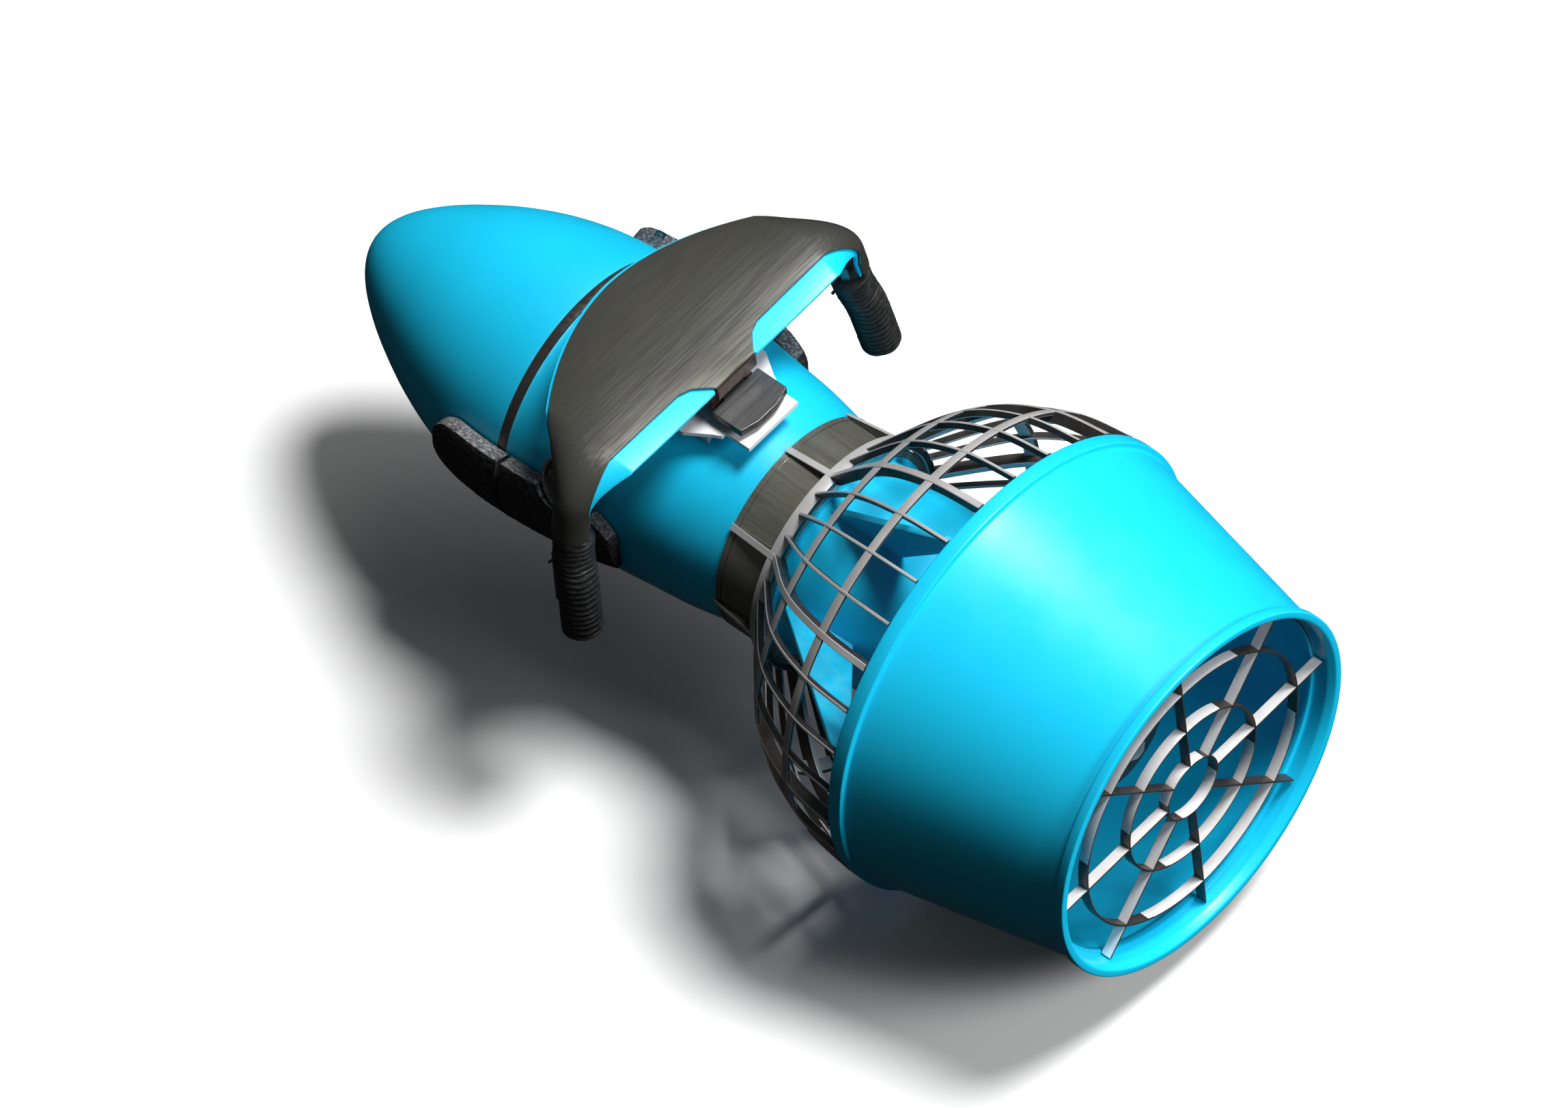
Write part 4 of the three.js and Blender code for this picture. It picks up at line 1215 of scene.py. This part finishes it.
class SCOOTER_OT_stage(ScooterOperator):
    """Sets the pale floor, the soft lights and the camera"""

    bl_idname = "scooter.stage"
    bl_label = "Stage"

    RIGHT = Vector((-0.74655, -0.66093, -0.07635))
    DOWN = Vector((-0.50299, 0.63578, -0.58548))
    AHEAD = Vector((0.43551, -0.39869, -0.80708))
    TARGET = Vector((0.2452, 0.0697, 0.0979))
    LENS, DISTANCE = 800.0, 19.7
    FLOOR_HALF = 30.0
    SKY_RAMP = {"From Min": -0.3, "From Max": 0.6, "To Min": 0.2, "To Max": 1.25}
    SUN_ENERGY, SUN_ANGLE, SUN_FROM = 3.7, 18, Vector((-0.22, -0.34, 0.9))
    # name, place, energy and size of each lamp
    LAMPS = (("over_console", (0.35, -1.1, 1.5), 5.0, 1.2), ("from_behind", (-1.8, -0.45, 1.15), 26.0, 0.6))

    def execute(self, context):
        scene = context.scene
        scene.view_settings.view_transform = "Standard"
        self.make_floor()
        self.make_world(scene)
        self.make_lights(scene)
        self.make_camera(scene)
        return {"FINISHED"}

    def make_floor(self):
        mesh = bpy.data.meshes.new("floor")
        half, low = self.FLOOR_HALF, CAD_BOX[0].z
        corners = [(-half, -half, low), (half, -half, low), (half, half, low), (-half, half, low)]
        mesh.from_pydata(corners, [], [(0, 1, 2, 3)])
        floor = bpy.data.objects.new("floor", mesh)
        bpy.context.scene.collection.objects.link(floor)
        pale = Finish("pale_floor", (0.95, 0.95, 0.95), 0.9)
        pale.tint(pale.cloud(2.0), (0.93, 0.93, 0.93), 0.5)
        mesh.materials.append(pale.made)
        floor.visible_diffuse = False
        floor.visible_glossy = False

    def make_world(self, scene):
        world = bpy.data.worlds.new("studio")
        scene.world = world
        world.use_nodes = True
        tree = world.node_tree
        back = tree.nodes["Background"]
        coordinates = tree.nodes.new("ShaderNodeTexCoord")
        split = tree.nodes.new("ShaderNodeSeparateXYZ")
        ramp = tree.nodes.new("ShaderNodeMapRange")
        for name, value in self.SKY_RAMP.items():
            ramp.inputs[name].default_value = value
        rays = tree.nodes.new("ShaderNodeLightPath")
        seen = tree.nodes.new("ShaderNodeMath")
        seen.operation = "MAXIMUM"
        tree.links.new(coordinates.outputs["Generated"], split.inputs["Vector"])
        tree.links.new(split.outputs["Z"], ramp.inputs["Value"])
        tree.links.new(rays.outputs["Is Camera Ray"], seen.inputs[0])
        tree.links.new(ramp.outputs["Result"], seen.inputs[1])
        tree.links.new(seen.outputs[0], back.inputs["Strength"])

    def make_lights(self, scene):
        sun = bpy.data.lights.new("key", "SUN")
        sun.energy = self.SUN_ENERGY
        sun.angle = math.radians(self.SUN_ANGLE)
        holder = bpy.data.objects.new("key", sun)
        holder.rotation_mode = "QUATERNION"
        holder.rotation_quaternion = self.SUN_FROM.to_track_quat("Z", "Y")
        scene.collection.objects.link(holder)
        for name, spot, energy, size in self.LAMPS:
            light = bpy.data.lights.new(name, "AREA")
            light.energy = energy
            light.size = size
            lamp = bpy.data.objects.new(name, light)
            lamp.visible_glossy = False
            lamp.location = spot
            lamp.rotation_mode = "QUATERNION"
            lamp.rotation_quaternion = (Vector(spot) - Vector((0, 0, AXIS_Z))).to_track_quat("Z", "Y")
            scene.collection.objects.link(lamp)

    def make_camera(self, scene):
        data = bpy.data.cameras.new("camera")
        data.lens = self.LENS
        data.sensor_width = 36.0
        data.clip_start, data.clip_end = 1.0, 100.0
        camera = bpy.data.objects.new("camera", data)
        scene.collection.objects.link(camera)
        turn = Matrix((self.RIGHT, -self.DOWN, -self.AHEAD)).transposed()
        camera.rotation_mode = "QUATERNION"
        camera.rotation_quaternion = turn.to_quaternion()
        camera.location = Vector(ORIGIN) + self.TARGET - self.AHEAD * self.DISTANCE
        scene.camera = camera


class SCOOTER_PT_panel(bpy.types.Panel):
    """The scooter's settings and steps."""

    bl_idname = "SCOOTER_PT_panel"
    bl_label = "Underwater scooter"
    bl_space_type = "VIEW_3D"
    bl_region_type = "UI"
    bl_category = "Scooter"

    def draw(self, context):
        for group in (context.scene.scooter_colours, context.scene.scooter_sizes):
            box = self.layout.box()
            for name in group.bl_rna.properties.keys():
                if name not in ("rna_type", "name"):
                    box.prop(group, name)
        for step in STEPS:
            self.layout.operator(step.bl_idname)


STEPS = (
    SCOOTER_OT_finishes, SCOOTER_OT_shroud, SCOOTER_OT_guard, SCOOTER_OT_cage, SCOOTER_OT_collar,
    SCOOTER_OT_pod, SCOOTER_OT_propeller, SCOOTER_OT_hull, SCOOTER_OT_console, SCOOTER_OT_flap,
    SCOOTER_OT_grips, SCOOTER_OT_bumpers, SCOOTER_OT_latches, SCOOTER_OT_small_parts, SCOOTER_OT_stage,
)
CLASSES = (ScooterColours, ScooterSizes, *STEPS, SCOOTER_PT_panel)


def register():
    for made in CLASSES:
        bpy.utils.register_class(made)
    bpy.types.Scene.scooter_colours = bpy.props.PointerProperty(type=ScooterColours)
    bpy.types.Scene.scooter_sizes = bpy.props.PointerProperty(type=ScooterSizes)


def unregister():
    del bpy.types.Scene.scooter_sizes
    del bpy.types.Scene.scooter_colours
    for made in reversed(CLASSES):
        bpy.utils.unregister_class(made)


def main():
    register()
    for step in STEPS:
        group, name = step.bl_idname.split(".")
        getattr(getattr(bpy.ops, group), name)()
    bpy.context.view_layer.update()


if __name__ == "__main__":
    main()
